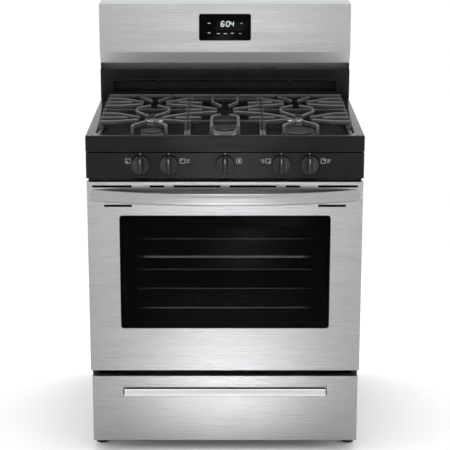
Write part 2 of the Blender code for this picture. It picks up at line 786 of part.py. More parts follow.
def build_oven_burner(name, spread, z):
    """A hairpin tube, closed at its front end, with both legs at the oven's back."""
    back = CAVITY_BACK - BURNER_MARGIN
    front = CAVITY_FRONT + BURNER_MARGIN + spread
    bend = arc((0.0, front), spread, 180, 360, 8)
    points = [(-spread, back, z)] + [(x, depth, z) for x, depth in bend] + [(spread, back, z)]
    part(tube(name, points, BURNER_TUBE, resolution=1), ALUMINIUM)


def build_rack(name, ledge):
    """A welded grid: a frame, one cross wire and lengthwise wires at one pitch."""
    front = CAVITY_FRONT + RACK_SETBACK
    back = CAVITY_BACK - RACK_REAR
    half = CAVITY_HALF - RACK_SIDE_GAP
    cross = (front + back) / 2
    rows = ((front + RACK_WIRE, cross - RACK_WIRE / 2), (cross + RACK_WIRE / 2, back - RACK_WIRE))
    count = int((half - RACK_WIRE * 2) / RACK_PITCH)
    wires = [i * RACK_PITCH for i in range(-count, count + 1)]
    lefts = [-half + RACK_WIRE] + [x + RACK_WIRE / 2 for x in wires]
    rights = [x - RACK_WIRE / 2 for x in wires] + [half - RACK_WIRE]
    outlines = [rectangle(span(half), (front, back))]
    outlines += [rectangle(column, row) for column in zip(lefts, rights) for row in rows]
    z = ledge_height(ledge) + GAP + RACK_WIRE / 2
    rack = part(plate(name, outlines, RACK_WIRE, (0.0, 0.0, z), "XY"), CHROME)
    hang(pivot(f"{name}_slide", (0.0, at_depth(front), z)), rack)


# ------------------------------------------------------------------ cooktop
def burner_places():
    """Name, x, depth and cap radius of the four round burners."""
    places = []
    for row, depth in (("front", FRONT_BURNER_DEPTH), ("rear", REAR_BURNER_DEPTH)):
        for side, x in (("left", -SIDE_BURNER_X), ("right", SIDE_BURNER_X)):
            name = f"{row}_{side}"
            places.append((name, x, depth, CAP_RADII[name]))
    return places


def build_cooktop():
    """The pressed top: a skirt, a flat rim and a sunken well with burner holes."""
    deck = open_box(
        "cooktop_deck",
        span(HALF),
        (0.0, COVER_FRONT - GAP),
        (FASCIA_BOTTOM, COOKTOP_HEIGHT),
        SHEET,
        (0, 0, -1),
    )
    tub = box(
        "tub",
        span(WELL_HALF + SHEET),
        (RIM_FRONT - SHEET, WELL_BACK + SHEET),
        (WELL_FLOOR - SHEET, COOKTOP_HEIGHT - SHEET / 2),
    )
    well = box("well", span(WELL_HALF), (RIM_FRONT, WELL_BACK), (WELL_FLOOR, COOKTOP_HEIGHT + 0.01))
    join(deck, tub)
    cut(deck, well)
    for _, x, depth, radius in burner_places():
        hole = radius - THROAT_INSET + GAP
        cut(deck, cylinder("hole", hole, 0.02, (x, depth, WELL_FLOOR)))
    hole = stadium(OVAL_CAP_RADIUS - THROAT_INSET + GAP, OVAL_CAP_LENGTH - 2 * THROAT_INSET)
    centre = (0.0, MIDDLE_DEPTH, WELL_FLOOR)
    cut(deck, as_mesh(plate("hole", [hole], 0.02, centre, "XY")))
    part(deck, BLACK_ENAMEL)

    for name, x, depth, radius in burner_places():
        build_round_burner(name, x, depth, radius)
    build_oval_burner()


def build_round_burner(name, x, depth, radius):
    """A turned head whose throat passes through the deck, and its loose cap."""
    seat = CAP_TOP_RISE - CAP_TALL - GAP
    throat = radius - THROAT_INSET
    head = turned(
        f"burner_head_{name}",
        [
            (0.0, seat),
            (radius - HEAD_RING_INSET, seat),
            (radius - HEAD_RING_INSET, HEAD_LIP_TALL),
            (radius + HEAD_LIP, HEAD_LIP_TALL),
            (radius + HEAD_LIP, GAP),
            (throat, GAP),
            (throat, -THROAT_DROP),
            (0.0, -THROAT_DROP),
        ],
        (x, depth, WELL_FLOOR),
    )
    part(head, ALUMINIUM)
    cap = turned(
        f"burner_cap_{name}",
        [
            (0.0, CAP_TALL),
            (radius - CAP_TALL / 2, CAP_TALL),
            (radius, CAP_TALL / 2),
            (radius, 0.0),
            (0.0, 0.0),
        ],
        (x, depth, WELL_FLOOR + CAP_TOP_RISE - CAP_TALL),
    )
    part(cap, BLACK_ENAMEL)


def build_oval_burner():
    """The long centre burner, built up from flat slot shapes."""
    seat = CAP_TOP_RISE - CAP_TALL - GAP

    def layer(name, grow, low, high):
        outline = stadium(OVAL_CAP_RADIUS + grow, OVAL_CAP_LENGTH + 2 * grow)
        middle = (0.0, MIDDLE_DEPTH, WELL_FLOOR + (low + high) / 2)
        return as_mesh(plate(name, [outline], high - low, middle, "XY"))

    head = layer("burner_head_center", -HEAD_RING_INSET, HEAD_LIP_TALL / 2, seat)
    lip = layer("lip", HEAD_LIP, GAP, HEAD_LIP_TALL)
    throat = layer("throat", -THROAT_INSET, -THROAT_DROP, HEAD_LIP_TALL / 2)
    join(head, lip, throat)
    part(head, ALUMINIUM)
    cap = layer("burner_cap_center", 0.0, CAP_TOP_RISE - CAP_TALL, CAP_TOP_RISE)
    part(soften(cap, CAP_TALL / 3), BLACK_ENAMEL)


# ------------------------------------------------------------------ grates
GRATE_FRONT = RIM_FRONT + GRATE_FRONT_GAP
GRATE_BACK = WELL_BACK - GRATE_BACK_GAP
RAIL_TOP = GRATE_TOP - GRATE_RAIL_DROP
RAIL_BOTTOM = RAIL_TOP - GRATE_RAIL_TALL


def bar(path):
    """A finger at the grate's top level."""
    middle = GRATE_TOP - GRATE_BAR_TALL / 2
    return as_mesh(plate("bar", [ribbon(path, GRATE_BAR)], GRATE_BAR_TALL, (0.0, 0.0, middle), "XY"))


def post(x, depth):
    """An upright from the low rail to the top level."""
    half = GRATE_BAR / 2 + 0.0002
    return box(
        "post",
        (x - half, x + half),
        (depth - half, depth + half),
        (RAIL_BOTTOM - 0.0002, GRATE_TOP - 0.0002),
    )


def grate_foot(x, depth):
    half = GRATE_FOOT / 2
    return box(
        "foot",
        (x - half, x + half),
        (depth - half, depth + half),
        (WELL_FLOOR + GAP, RAIL_BOTTOM + 0.002),
    )


def assemble_grate(name, left, right, paths, posts):
    """A low rail around three sides, a high bar at the back, and the fingers on posts."""
    inset = GRATE_BAR / 2
    x = (left + inset, right - inset)
    front = GRATE_FRONT + inset
    back = GRATE_BACK - inset
    corner = 0.012
    rail = [(x[0], back)]
    rail += arc((x[0] + corner, front + corner), corner, 180, 270, 2)
    rail += arc((x[1] - corner, front + corner), corner, 270, 360, 2)
    rail += [(x[1], back)]
    middle = (RAIL_TOP + RAIL_BOTTOM) / 2
    outline = ribbon(rail, GRATE_BAR)
    grate = as_mesh(plate(name, [outline], GRATE_RAIL_TALL, (0.0, 0.0, middle), "XY"))
    join(grate, bar([(left, back), (right, back)]))
    for path in paths:
        join(grate, bar(path))
    for place in posts + [(x[0], back), (x[1], back)]:
        join(grate, post(*place))
    for foot_x in x:
        for depth in (front + corner + inset, back):
            join(grate, grate_foot(foot_x, depth))
    part(grate, CAST_IRON)
    hang(pivot(f"{name}_lift", ((left + right) / 2, at_depth(MIDDLE_DEPTH), RAIL_BOTTOM)), grate)


def build_side_grate(name, side):
    """Fingers reach in from all sides towards the front and rear burners."""
    inset = GRATE_BAR / 2
    outer = WELL_HALF - GRATE_SIDE_GAP
    inner = CENTRE_GRATE_WIDTH / 2 + GRATE_SIDE_GAP
    axis = SIDE_BURNER_X
    rails = (outer - inset, inner + inset)
    front = GRATE_FRONT + inset
    back = GRATE_BACK - inset
    paths = [[(rails[0], MIDDLE_DEPTH), (rails[1], MIDDLE_DEPTH)]]
    posts = [(rails[0], MIDDLE_DEPTH), (rails[1], MIDDLE_DEPTH)]
    for burner in (FRONT_BURNER_DEPTH, REAR_BURNER_DEPTH):
        for root, tip in zip(FINGER_ROOTS, FINGER_TIPS):
            bend = (rails[0] - FINGER_STRAIGHT, burner + root)
            outer_tip = (axis + FINGER_TIP_X, burner + tip)
            inner_tip = (axis - FINGER_TIP_X, burner + tip)
            paths.append([(rails[0], burner + root), bend, outer_tip])
            paths.append([(rails[1], burner + root), inner_tip])
            posts += [(rails[0], burner + root), (rails[1], burner + root)]
        paths.append([(rails[0], burner), (axis + SHORT_TIP_X, burner)])
        paths.append([(rails[1], burner), (axis - SHORT_TIP_X, burner)])
        posts += [(rails[0], burner), (rails[1], burner)]
    ends = (
        (front, FRONT_BURNER_DEPTH + FORK_TIPS[0], 1),
        (MIDDLE_DEPTH, FRONT_BURNER_DEPTH + FORK_TIPS[1], -1),
        (MIDDLE_DEPTH, REAR_BURNER_DEPTH + FORK_TIPS[0], 1),
        (back, REAR_BURNER_DEPTH + FORK_TIPS[1], -1),
    )
    for root, tip, way in ends:
        for hand in (-1, 1):
            x = axis + hand * FORK_SPREAD
            bend = (x, root + way * FORK_STRAIGHT)
            paths.append([(x, root), bend, (axis + hand * FORK_TIP_X, tip)])
            if root == front:
                posts.append((x, root))
    paths = [[(side * x, depth) for x, depth in path] for path in paths]
    posts = [(side * x, depth) for x, depth in posts]
    left, right = sorted((side * outer, side * inner))
    assemble_grate(name, left, right, paths, posts)


def build_centre_grate():
    """Two lengthwise bars that close in on the oval burner, with cross bars."""
    half = CENTRE_GRATE_WIDTH / 2 - GRATE_SIDE_GAP
    rail = half - GRATE_BAR / 2
    front = GRATE_FRONT + GRATE_BAR / 2
    back = GRATE_BACK - GRATE_BAR / 2
    paths = []
    posts = []
    for way, root, index in ((-1, front, 0), (1, back, 1)):
        bend = MIDDLE_DEPTH + way * CENTRE_BENDS[index]
        tip = MIDDLE_DEPTH + way * CENTRE_TIPS[index]
        cross = MIDDLE_DEPTH + way * CENTRE_CROSS[index]
        finger = MIDDLE_DEPTH + way * CENTRE_FINGER_ROOTS[index]
        finger_tip = MIDDLE_DEPTH + way * CENTRE_FINGER_TIPS[index]
        paths.append([(-rail, cross), (rail, cross)])
        for hand in (-1, 1):
            x = hand * CENTRE_BARS_X
            paths.append([(x, root), (x, bend), (hand * CENTRE_TIP_X, tip)])
            paths.append([(hand * rail, finger), (hand * CENTRE_FINGER_X, finger_tip)])
            posts += [(hand * rail, cross), (hand * rail, finger)]
            if root == front:
                posts.append((x, root))
    for offset in CENTRE_SHORTS:
        for hand in (-1, 1):
            depth = MIDDLE_DEPTH + offset
            paths.append([(hand * rail, depth), (hand * SHORT_TIP_X, depth)])
            posts.append((hand * rail, depth))
    assemble_grate("grate_center", -half, half, paths, posts)


def build_grates():
    build_side_grate("grate_left", -1)
    build_centre_grate()
    build_side_grate("grate_right", 1)


# ------------------------------------------------------------------ controls
def build_controls():
    panel = open_box(
        "control_panel",
        span(HALF - CONTROL_INSET),
        (0.0, FRAME_DEPTH - GAP),
        (CONTROL_BOTTOM, CONTROL_TOP),
        SHEET,
        (0, 1, 0),
    )
    bore = STEM_RADIUS + BORE_GAP
    for x in KNOB_POSITIONS:
        cut(panel, cylinder("stem_hole", bore, 0.02, (x, 0.0, KNOB_Z), "Y", 12))
    part(panel, BLACK_ENAMEL)
    build_manifold()
    for number, x in enumerate(KNOB_POSITIONS, start=1):
        build_knob(number, x)


def build_manifold():
    """A square gas rail behind the front frame, with one valve for each knob."""
    back = FRAME_BACK + GAP
    reach = max(KNOB_POSITIONS) + VALVE_RADIUS + 0.020
    half = MANIFOLD_SIDE / 2
    rail = box("gas_manifold", span(reach), (back, back + MANIFOLD_SIDE), (KNOB_Z - half, KNOB_Z + half))
    length = back + half - VALVE_FRONT
    socket = STEM_IN_VALVE + KNOB_TRAVEL + 0.002
    for x in KNOB_POSITIONS:
        valve = turned(
            "valve",
            [
                (0.0, length - socket),
                (STEM_RADIUS + BORE_GAP, length - socket),
                (STEM_RADIUS + BORE_GAP, length),
                (VALVE_RADIUS, length),
                (VALVE_RADIUS, 0.0),
                (0.0, 0.0),
            ],
            (x, back + half, KNOB_Z),
            forward=True,
            steps=16,
        )
        join(rail, valve)
    part(rail, ALUMINIUM)


def build_knob(number, x):
    """A push-and-turn knob on its valve stem."""
    back = -(KNOB_TRAVEL + KNOB_GAP)
    start = back - STEM_IN_KNOB
    end = VALVE_FRONT + STEM_IN_VALVE
    centre = (x, (start + end) / 2, KNOB_Z)
    stem = part(cylinder(f"valve_stem_{number}", STEM_RADIUS, end - start, centre, "Y", 12), CHROME)

    bore = STEM_RADIUS + BORE_GAP
    knob = turned(
        f"knob_{number}",
        [
            (0.0, KNOB_BASE),
            (KNOB_RADIUS - 0.002, KNOB_BASE),
            (KNOB_RADIUS, KNOB_BASE - 0.002),
            (KNOB_RADIUS, 0.0),
            (bore, 0.0),
            (bore, STEM_IN_KNOB + 0.001),
            (0.0, STEM_IN_KNOB + 0.001),
        ],
        (x, back, KNOB_Z),
        forward=True,
    )
    grip = box(
        "grip",
        (x - GRIP_WIDTH / 2, x + GRIP_WIDTH / 2),
        (back - KNOB_TALL, back - KNOB_BASE + 0.001),
        (KNOB_Z - KNOB_RADIUS + 0.0015, KNOB_Z + KNOB_RADIUS - 0.0015),
    )
    join(knob, soften(grip, 0.003))
    part(knob, BLACK_PLASTIC)

    push = pivot(f"knob_{number}_push", (x, at_depth(0.0), KNOB_Z))
    hang(push, stem, knob)


# ------------------------------------------------------------------ backguard
def build_backguard():
    half = BACKGUARD_HALF
    front = BACKGUARD_SETBACK
    back = front + FACET_RUN + SHEET
    fold = TOTAL_HEIGHT - FACE_HEIGHT
    foot = fold - FACET_HEIGHT
    bend = SHEET / 2
    profile = [
        (back, TOTAL_HEIGHT - bend),
        (front + bend, TOTAL_HEIGHT - bend),
        (front + bend, fold),
        (front + bend + FACET_RUN, foot),
    ]
    face = as_mesh(plate("backguard_face", [ribbon(profile, SHEET)], 2 * half, (0.0, 0.0, 0.0), "YZ"))
    end = [
        (front + bend, TOTAL_HEIGHT - bend),
        (front + bend, fold),
        (front + bend + FACET_RUN, foot),
        (back, foot),
        (back, TOTAL_HEIGHT - bend),
    ]
    for side in (-1, 1):
        place = (side * (half - SHEET / 2), 0.0, 0.0)
        join(face, as_mesh(plate("end", [end], SHEET, place, "YZ")))
    glass_top = TOTAL_HEIGHT - GLASS_DROP
    glass_x = span(GLASS_WIDTH / 2)
    glass_z = (glass_top - GLASS_HEIGHT, glass_top)
    opening = rounded(
        span(GLASS_WIDTH / 2 + GAP),
        (glass_z[0] - GAP, glass_z[1] + GAP),
        GLASS_CORNER + GAP,
    )
    cut(face, as_mesh(plate("opening", [opening], 0.01, (0.0, front, 0.0), "XZ")))
    part(face, STAINLESS)

    glass_back = front + GLASS_THICK - 0.0005
    middle = (0.0, glass_back - GLASS_THICK / 2, 0.0)
    outline = rounded(glass_x, glass_z, GLASS_CORNER)
    part(plate("display_glass", [outline], GLASS_THICK, middle, "XZ"), BLACK_GLASS)
    board = box(
        "display_board",
        span(GLASS_WIDTH / 2 + BOARD_MARGIN),
        (glass_back + GAP, glass_back + GAP + BOARD_THICK),
        (glass_z[0] - BOARD_MARGIN, glass_z[1] + BOARD_MARGIN),
    )
    part(board, BOARD_GREEN)

    housing = open_box(
        "backguard_housing",
        span(half),
        (back + GAP, BODY_DEPTH),
        (COOKTOP_HEIGHT + GAP, TOTAL_HEIGHT),
        SHEET,
        (0, -1, 0),
    )
    part(housing, BLACK_PAINT)

    vent_front = front + LOWER_SETBACK
    vent_top = COOKTOP_HEIGHT + VENT_PANEL_TALL
    strip = [
        (back, vent_top - bend),
        (vent_front + bend, vent_top - bend),
        (vent_front + bend, COOKTOP_HEIGHT + GAP),
    ]
    panel = as_mesh(plate("backguard_vent_panel", [ribbon(strip, SHEET)], 2 * half, (0, 0, 0), "YZ"))
    slot = box(
        "vent",
        span(half - VENT_INSET),
        (vent_front - 0.005, vent_front + 0.005),
        (COOKTOP_HEIGHT + VENT_LOW, COOKTOP_HEIGHT + VENT_HIGH),
    )
    part(cut(panel, slot), BLACK_ENAMEL)


# ------------------------------------------------------------------ door
def window_outline(shrink):
    """The window's rounded outline, made smaller all round."""
    half = DOOR_HALF - WINDOW_SIDE - shrink
    z = (DOOR_BOTTOM + WINDOW_SILL + shrink, DOOR_TOP - WINDOW_HEAD - shrink)
    return rounded(span(half), z, WINDOW_CORNER)


def bow(x):
    """How far the handle's front stands out at x."""
    return HANDLE_REACH * (1.0 - abs(x / HANDLE_HALF) ** HANDLE_BOW)


def build_door():
    pieces = [build_door_skin(), build_door_liner(), build_handle()]
    glass_middle = WINDOW_THICK / 2 - 0.0005
    window = plate("door_window_glass", [window_outline(0.0)], WINDOW_THICK, (0.0, glass_middle, 0.0))
    pieces.append(part(window, BLACK_GLASS))
    inner_middle = LINER_BACK - SHEET / 2
    inner = plate(
        "door_inner_glass",
        [window_outline(INNER_GLASS_MARGIN)],
        SHEET,
        (0.0, inner_middle, 0.0),
    )
    pieces.append(part(inner, CLEAR_GLASS))
    for side, name in ((-1, "door_hinge_left"), (1, "door_hinge_right")):
        pieces.append(build_door_hinge(name, side * HINGE_X))
    hang(pivot("door_hinge_axis", (0.0, at_depth(DOOR_SKIN_DEPTH), HINGE_Z)), *pieces)


def build_door_skin():
    """The outer panel: a shallow pan with the window, the vents and two hinge notches."""
    skin = open_box(
        "door_outer_panel",
        span(DOOR_HALF),
        (0.0, DOOR_SKIN_DEPTH),
        (DOOR_BOTTOM, DOOR_TOP),
        SHEET,
        (0, 1, 0),
    )
    cut(skin, as_mesh(plate("window", [window_outline(-GAP)], 0.02, (0.0, 0.0, 0.0))))
    outer = (DOOR_HALF - OUTER_SLOT[1], DOOR_HALF - OUTER_SLOT[0])
    low = (DOOR_HALF - LOW_SLOT[1], DOOR_HALF - LOW_SLOT[0])
    rows = (((*INNER_SLOTS, outer), DOOR_TOP - TOP_SLOT_DROP), ((low,), DOOR_TOP - LOW_SLOT_DROP))
    for slots, z in rows:
        for start, end in slots:
            for side in (-1, 1):
                x = sorted((side * start, side * end))
                cut(skin, box("slot", x, (-0.01, 0.01), (z - SLOT_TALL / 2, z + SLOT_TALL / 2)))
    notch = (DOOR_SKIN_DEPTH - RECEIVER_RADIUS - SLIDE_GAP, DOOR_SKIN_DEPTH + 0.01)
    half = RECEIVER_WIDTH / 2 + SLIDE_GAP
    for side in (-1, 1):
        x = (side * HINGE_X - half, side * HINGE_X + half)
        cut(skin, box("notch", x, notch, (DOOR_BOTTOM - 0.01, DOOR_BOTTOM + 0.01)))
    return part(skin, STAINLESS)


def build_door_liner():
    """The inner panel, a pan that closes the door's back, with the inner glass's hole."""
    liner = open_box(
        "door_inner_panel",
        span(DOOR_HALF - LINER_SIDE),
        (DOOR_SKIN_DEPTH + GAP, LINER_BACK),
        (DOOR_BOTTOM + LINER_RISE, DOOR_TOP - LINER_DROP),
        SHEET,
        (0, -1, 0),
    )
    opening = window_outline(INNER_GLASS_MARGIN - GAP)
    cut(liner, as_mesh(plate("opening", [opening], 0.02, (0.0, LINER_BACK, 0.0))))
    return part(liner, OVEN_ENAMEL)


def build_handle():
    """A bowed strap whose ends meet the door."""
    count = 24
    xs = [HANDLE_HALF * (2 * i / count - 1) for i in range(count + 1)]
    outer = [(x, -max(bow(x), 0.002)) for x in xs]
    inner = [(x, -max(bow(x) - HANDLE_THICK, GAP)) for x in xs]
    outline = outer + inner[::-1]
    handle = plate("door_handle", [outline], HANDLE_TALL, (0.0, 0.0, HANDLE_Z), "XY")
    return part(handle, STAINLESS)


def build_door_hinge(name, x):
    """A pin between two cheeks on a base inside the door."""
    low = HINGE_Z - RECEIVER_RADIUS
    reach = CHEEK_X + CHEEK_THICK
    base = box(
        name,
        (x - reach, x + reach),
        (SHEET + GAP, SHEET + GAP + CHEEK_THICK),
        (low, low + CHEEK_TALL),
    )
    for side in (-1, 1):
        cheek = sorted((x + side * CHEEK_X, x + side * reach))
        high = HINGE_Z + LINER_RISE - HINGE_RISE - GAP
        join(base, box("cheek", cheek, (SHEET + GAP, DOOR_SKIN_DEPTH + 0.002), (low, high)))
    join(base, cylinder("pin", PIN_RADIUS, PIN_LENGTH, (x, DOOR_SKIN_DEPTH, HINGE_Z), "X", 16))
    return part(base, GALVANISED)


# ------------------------------------------------------------------ drawer
def build_drawer():
    pull_top = DRAWER_TOP - PULL_DROP
    pull_z = (pull_top - PULL_TALL, pull_top)
    pull_x = span(PULL_WIDTH / 2)
    front = open_box(
        "drawer_front",
        span(DRAWER_HALF),
        (0.0, DOOR_SKIN_DEPTH),
        (DRAWER_CLEAR, DRAWER_TOP),
        SHEET,
        (0, 1, 0),
    )

    def pocket(name, grow, start, end):
        outline = rounded(
            (pull_x[0] - grow, pull_x[1] + grow),
            (pull_z[0] - grow, pull_z[1] + grow),
            PULL_CORNER + grow,
        )
        return as_mesh(plate(name, [outline], end - start, (0.0, (start + end) / 2, 0.0)))

    join(front, pocket("pocket", SHEET, SHEET / 2, PULL_DEPTH + SHEET))
    cut(front, pocket("recess", 0.0, -0.01, PULL_DEPTH))
    part(front, STAINLESS)

    start = PULL_DEPTH + SHEET + GAP
    end = BASE_BACK - PAN_REAR
    low = BASE_TOP + PAN_RISE
    length = (start, end)
    pan = open_box("drawer_pan", span(PAN_HALF), length, (low, low + PAN_TALL), SHEET, (0, 0, 1))
    ledge = BASE_TOP + RAIL_RISE + GAP
    for side in (-1, 1):
        x = sorted((side * (PAN_HALF - SHEET / 2), side * (PAN_HALF + RUNNER_WIDTH)))
        depth = (BASE_FRONT + 0.010, end - 0.010)
        join(pan, box("runner", x, depth, (ledge, ledge + RAIL_THICK)))
    part(pan, GALVANISED)
    hang(pivot("drawer_slide", (0.0, at_depth(0.0), ledge)), front, pan)


def clear_scene():
    for obj in list(bpy.data.objects):
        bpy.data.objects.remove(obj, do_unlink=True)


clear_scene()
RANGE = collection("freestanding_gas_range")
CUTTERS = collection("cutters")
build_chassis()
build_oven()
build_cooktop()
build_grates()
build_controls()
build_backguard()
build_door()
build_drawer()
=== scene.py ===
"""A freestanding gas range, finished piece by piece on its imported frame.

Each operator makes one group of pieces. Every size that the frame knows is read from the
frame's boxes; the other sizes are named below or are properties in the sidebar.
"""

import math
from functools import cache

import bmesh
import bpy
import numpy as np
from bpy.props import FloatProperty, FloatVectorProperty, PointerProperty
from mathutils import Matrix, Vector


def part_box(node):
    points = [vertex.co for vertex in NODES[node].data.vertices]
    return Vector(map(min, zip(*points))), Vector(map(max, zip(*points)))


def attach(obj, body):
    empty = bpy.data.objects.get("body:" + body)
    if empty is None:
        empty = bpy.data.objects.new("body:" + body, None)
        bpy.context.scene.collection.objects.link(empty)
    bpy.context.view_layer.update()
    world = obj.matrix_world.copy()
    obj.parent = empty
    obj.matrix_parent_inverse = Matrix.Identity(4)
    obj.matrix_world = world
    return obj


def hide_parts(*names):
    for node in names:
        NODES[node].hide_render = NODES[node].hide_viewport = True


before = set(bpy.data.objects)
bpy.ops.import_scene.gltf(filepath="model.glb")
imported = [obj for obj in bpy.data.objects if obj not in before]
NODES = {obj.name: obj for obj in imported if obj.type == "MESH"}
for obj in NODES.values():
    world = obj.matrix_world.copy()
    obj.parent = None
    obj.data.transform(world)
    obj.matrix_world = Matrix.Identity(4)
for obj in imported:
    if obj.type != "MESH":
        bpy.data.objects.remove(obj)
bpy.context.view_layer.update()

bl_info = {
    "name": "Gas Range Finish",
    "version": (1, 0, 0),
    "blender": (4, 5, 0),
    "location": "View3D > Sidebar > Gas Range",
    "description": "Adds the detailed surfaces and finishes of a gas range to its frame",
    "category": "Object",
}


def box(node):
    """A node's box as three (low, high) ranges, for x, y and z."""
    low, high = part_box(node)
    return tuple((low[i], high[i]) for i in range(3))


def middle(pair):
    return (pair[0] + pair[1]) / 2


def span(half, centre=0.0):
    return (centre - half, centre + half)


def grown(pair, amount):
    """A range made longer by one amount at both ends."""
    return (pair[0] - amount, pair[1] + amount)


# ------------------------------------------------------------------ places on the frame
DRAWER_Z = box("drawer_front")[2]
DECK_X, DECK_Y, DECK_Z = box("cooktop_deck")
PANEL_Y = box("control_panel")[1]
WINDOW_X, WINDOW_Y, WINDOW_Z = box("door_window_glass")
HANDLE_X, HANDLE_Y, HANDLE_Z = box("door_handle")
DISPLAY_X, DISPLAY_Y, DISPLAY_Z = box("display_glass")
GRATE_X, GRATE_Y, GRATE_Z = box("grate_right")
CENTRE_GRATE_X = box("grate_center")[0]
KNOBS = tuple(f"knob_{number}" for number in range(1, 6))
BURNERS = ("front_left", "front_right", "rear_left", "rear_right")
FACE_Y = box("door_outer_panel")[1][0]
WELL_DEPTH = 0.038
FLOOR_LEVEL = DECK_Z[1] - WELL_DEPTH

# ------------------------------------------------------------------ sizes the frame leaves open
ROOT = "range_body"
SKIN = 0.0002               # a mark's thickness above its surface
SHEEN = 0.3                 # specular level of enamel, paint and plastic
CHAIN = 12                  # points round a wire
SHEET_WELD = 2e-5
LEVEL_ANGLE = math.radians(0.5)  # faces nearer to level than this are joined
RIM_SIDE = 0.029            # the cooktop's edge to its well
RIM_FRONT = 0.020
RIM_ROUND = 0.004
WELL_CORNER = 0.030
WELL_ROUND = 0.010
WELL_BACK = DECK_Y[1] - 0.097
HEAD_SINK = 0.010           # a burner head below the well's floor
PORT_DEPTH = 0.0022
PORT_PITCH = 0.0075         # one flame port to the next
IGNITER_RADIUS = 0.0032
GRATE_BAR = 0.009
GRATE_BAR_TALL = 0.012
GRATE_RAIL_DROP = 0.025
GRATE_CORNER = 0.012
GRATE_BEND = 0.012
GRATE_FOOT = 0.011
FRONT_BURNER = 0.172        # from the door's face
REAR_BURNER = 0.410
FINGER_ROOTS = (-0.056, 0.062)  # from the burner, at the rail
FINGER_TIPS = (-0.030, 0.006)
FINGER_TIP_X = 0.034
FINGER_STRAIGHT = 0.0405
SHORT_TIP_X = 0.066
FORK_SPREAD = 0.046
FORK_TIP_X = 0.010
FORK_TIPS = (-0.049, 0.027)
FORK_STRAIGHT = 0.027
CENTRE_BARS_X = 0.037
CENTRE_TIP_X = 0.012
CENTRE_TIPS = (0.073, 0.065)
CENTRE_BENDS = (0.099, 0.124)
CENTRE_CROSS = (0.168, 0.175)
CENTRE_FINGER_ROOTS = (0.056, 0.066)
CENTRE_FINGER_TIPS = (0.027, 0.012)
CENTRE_FINGER_X = 0.023
CENTRE_SHORTS = (-0.118, 0.0, 0.114)
KNOB_SKIRT = 0.010
GRIP_WIDTH = 0.0155
POINTER = (0.0017, 0.013)   # a knob's line, its width and length
INDEX_RISE = 0.025
ICON_SIZE = 0.0135
ICON_LINE = 0.0012
ICON_DOT = 0.0042
ICON_RISE = 0.0085
RACK_PITCH = 0.043
RACK_TICK = 0.006
HANDLE_BOW = 2.6            # power of the bow's curve
HANDLE_CROWN = 0.0035
FRIT = 0.044                # black border of the window glass
FRIT_TOP = 0.023
PULL_HALF = 0.288
PULL_RISE = (0.133, 0.171)  # from the drawer front's lower edge
DIGIT = (0.0085, 0.0150)
DIGIT_LINE = 0.0019
DIGIT_SLANT = 0.12          # sideways for each unit of height
SEGMENTS = {"6": "acdefg", "0": "abcdef", "4": "bcfg"}


# ------------------------------------------------------------------ properties
def colour(name, description, default):
    """A colour that the sidebar can change."""
    return FloatVectorProperty(
        name=name, description=description, default=default, size=3, min=0, max=1, subtype="COLOR"
    )


def length(name, description, default):
    """A length in metres that the sidebar can change."""
    return FloatProperty(
        name=name, description=description, default=default, min=0, unit="LENGTH", precision=4
    )


class RangeColours(bpy.types.PropertyGroup):
    """Base colours of the finishes."""

    steel: colour("Steel", "Brushed stainless steel", (0.305, 0.308, 0.313))
    enamel: colour("Enamel", "Gloss enamel of the cooktop and the control panel", (0.011, 0.0115, 0.012))
    body: colour("Body", "Paint of the side panels", (0.022, 0.023, 0.024))
    iron: colour("Iron", "Cast grates", (0.058, 0.060, 0.062))
    oven: colour("Oven", "Enamel inside the oven", (0.0045, 0.0048, 0.006))
    display: colour("Display", "Lit digits of the clock", (0.80, 0.92, 1.0))


class RangeSizes(bpy.types.PropertyGroup):
    """Sizes of edges and of surface grain."""

    fold: length("Fold", "Radius of a sheet metal fold", 0.0016)
    edge: length("Edge", "Radius of a cut edge", 0.0005)
    grate_edge: length("Grate edge", "Radius along a grate's bars", 0.0030)
    glass_edge: length("Glass edge", "Radius of the ground edge of a glass", 0.0010)


def colours():
    return bpy.context.scene.range_colours


def sizes():
    return bpy.context.scene.range_sizes


# ------------------------------------------------------------------ surfaces
def grid_faces(rows, columns, close=False):
    """Quads joining each grid point to the next in its row and in its column. Rows run round."""
    row, column = np.meshgrid(np.arange(rows if close else rows - 1), np.arange(columns), indexing="ij")
    below, beside = (row + 1) % rows, (column + 1) % columns
    here, next_row = row * columns, below * columns
    corners = (here + column, here + beside, next_row + beside, next_row + column)
    return np.stack(corners, -1).reshape(-1, 4).tolist()


def skin(loops, close=False):
    """A surface through a pile of loops, closed by its two end faces or joined end to end."""
    rows, columns = loops.shape[:2]
    faces = grid_faces(rows, columns, close)
    if not close:
        faces.append(list(range(columns)))
        faces.append(list(range((rows - 1) * columns, rows * columns)))
    return loops.reshape(-1, 3), faces


def rounded_loop(u, v, corner, steps=7):
    """Points round a rectangle: at each corner, centre plus radius times cosine and sine."""
    turn = np.linspace(0, np.pi / 2, steps)[None, :] + np.arange(4)[:, None] * np.pi / 2
    centre_u = np.array([u[1] - corner, u[0] + corner, u[0] + corner, u[1] - corner])[:, None]
    centre_v = np.array([v[1] - corner, v[1] - corner, v[0] + corner, v[0] + corner])[:, None]
    loop = np.stack([centre_u + corner * np.cos(turn), centre_v + corner * np.sin(turn)], -1)
    return loop.reshape(-1, 2)


def placed(loop, height, plane):
    """A flat loop lifted to a height: in plan for XY, standing and facing -Y for XZ."""
    level = np.full((len(loop), 1), height)
    if plane == "XY":
        return np.hstack([loop, level])
    return np.hstack([loop[:, :1], level, loop[:, 1:]])


def stack(stations, plane="XY", close=False, steps=7):
    """A skin through rounded rectangles, each given as u range, v range, corner and height."""
    loops = [placed(rounded_loop(u, v, max(corner, 1e-5), steps), h, plane) for u, v, corner, h in stations]
    return skin(np.array(loops), close)


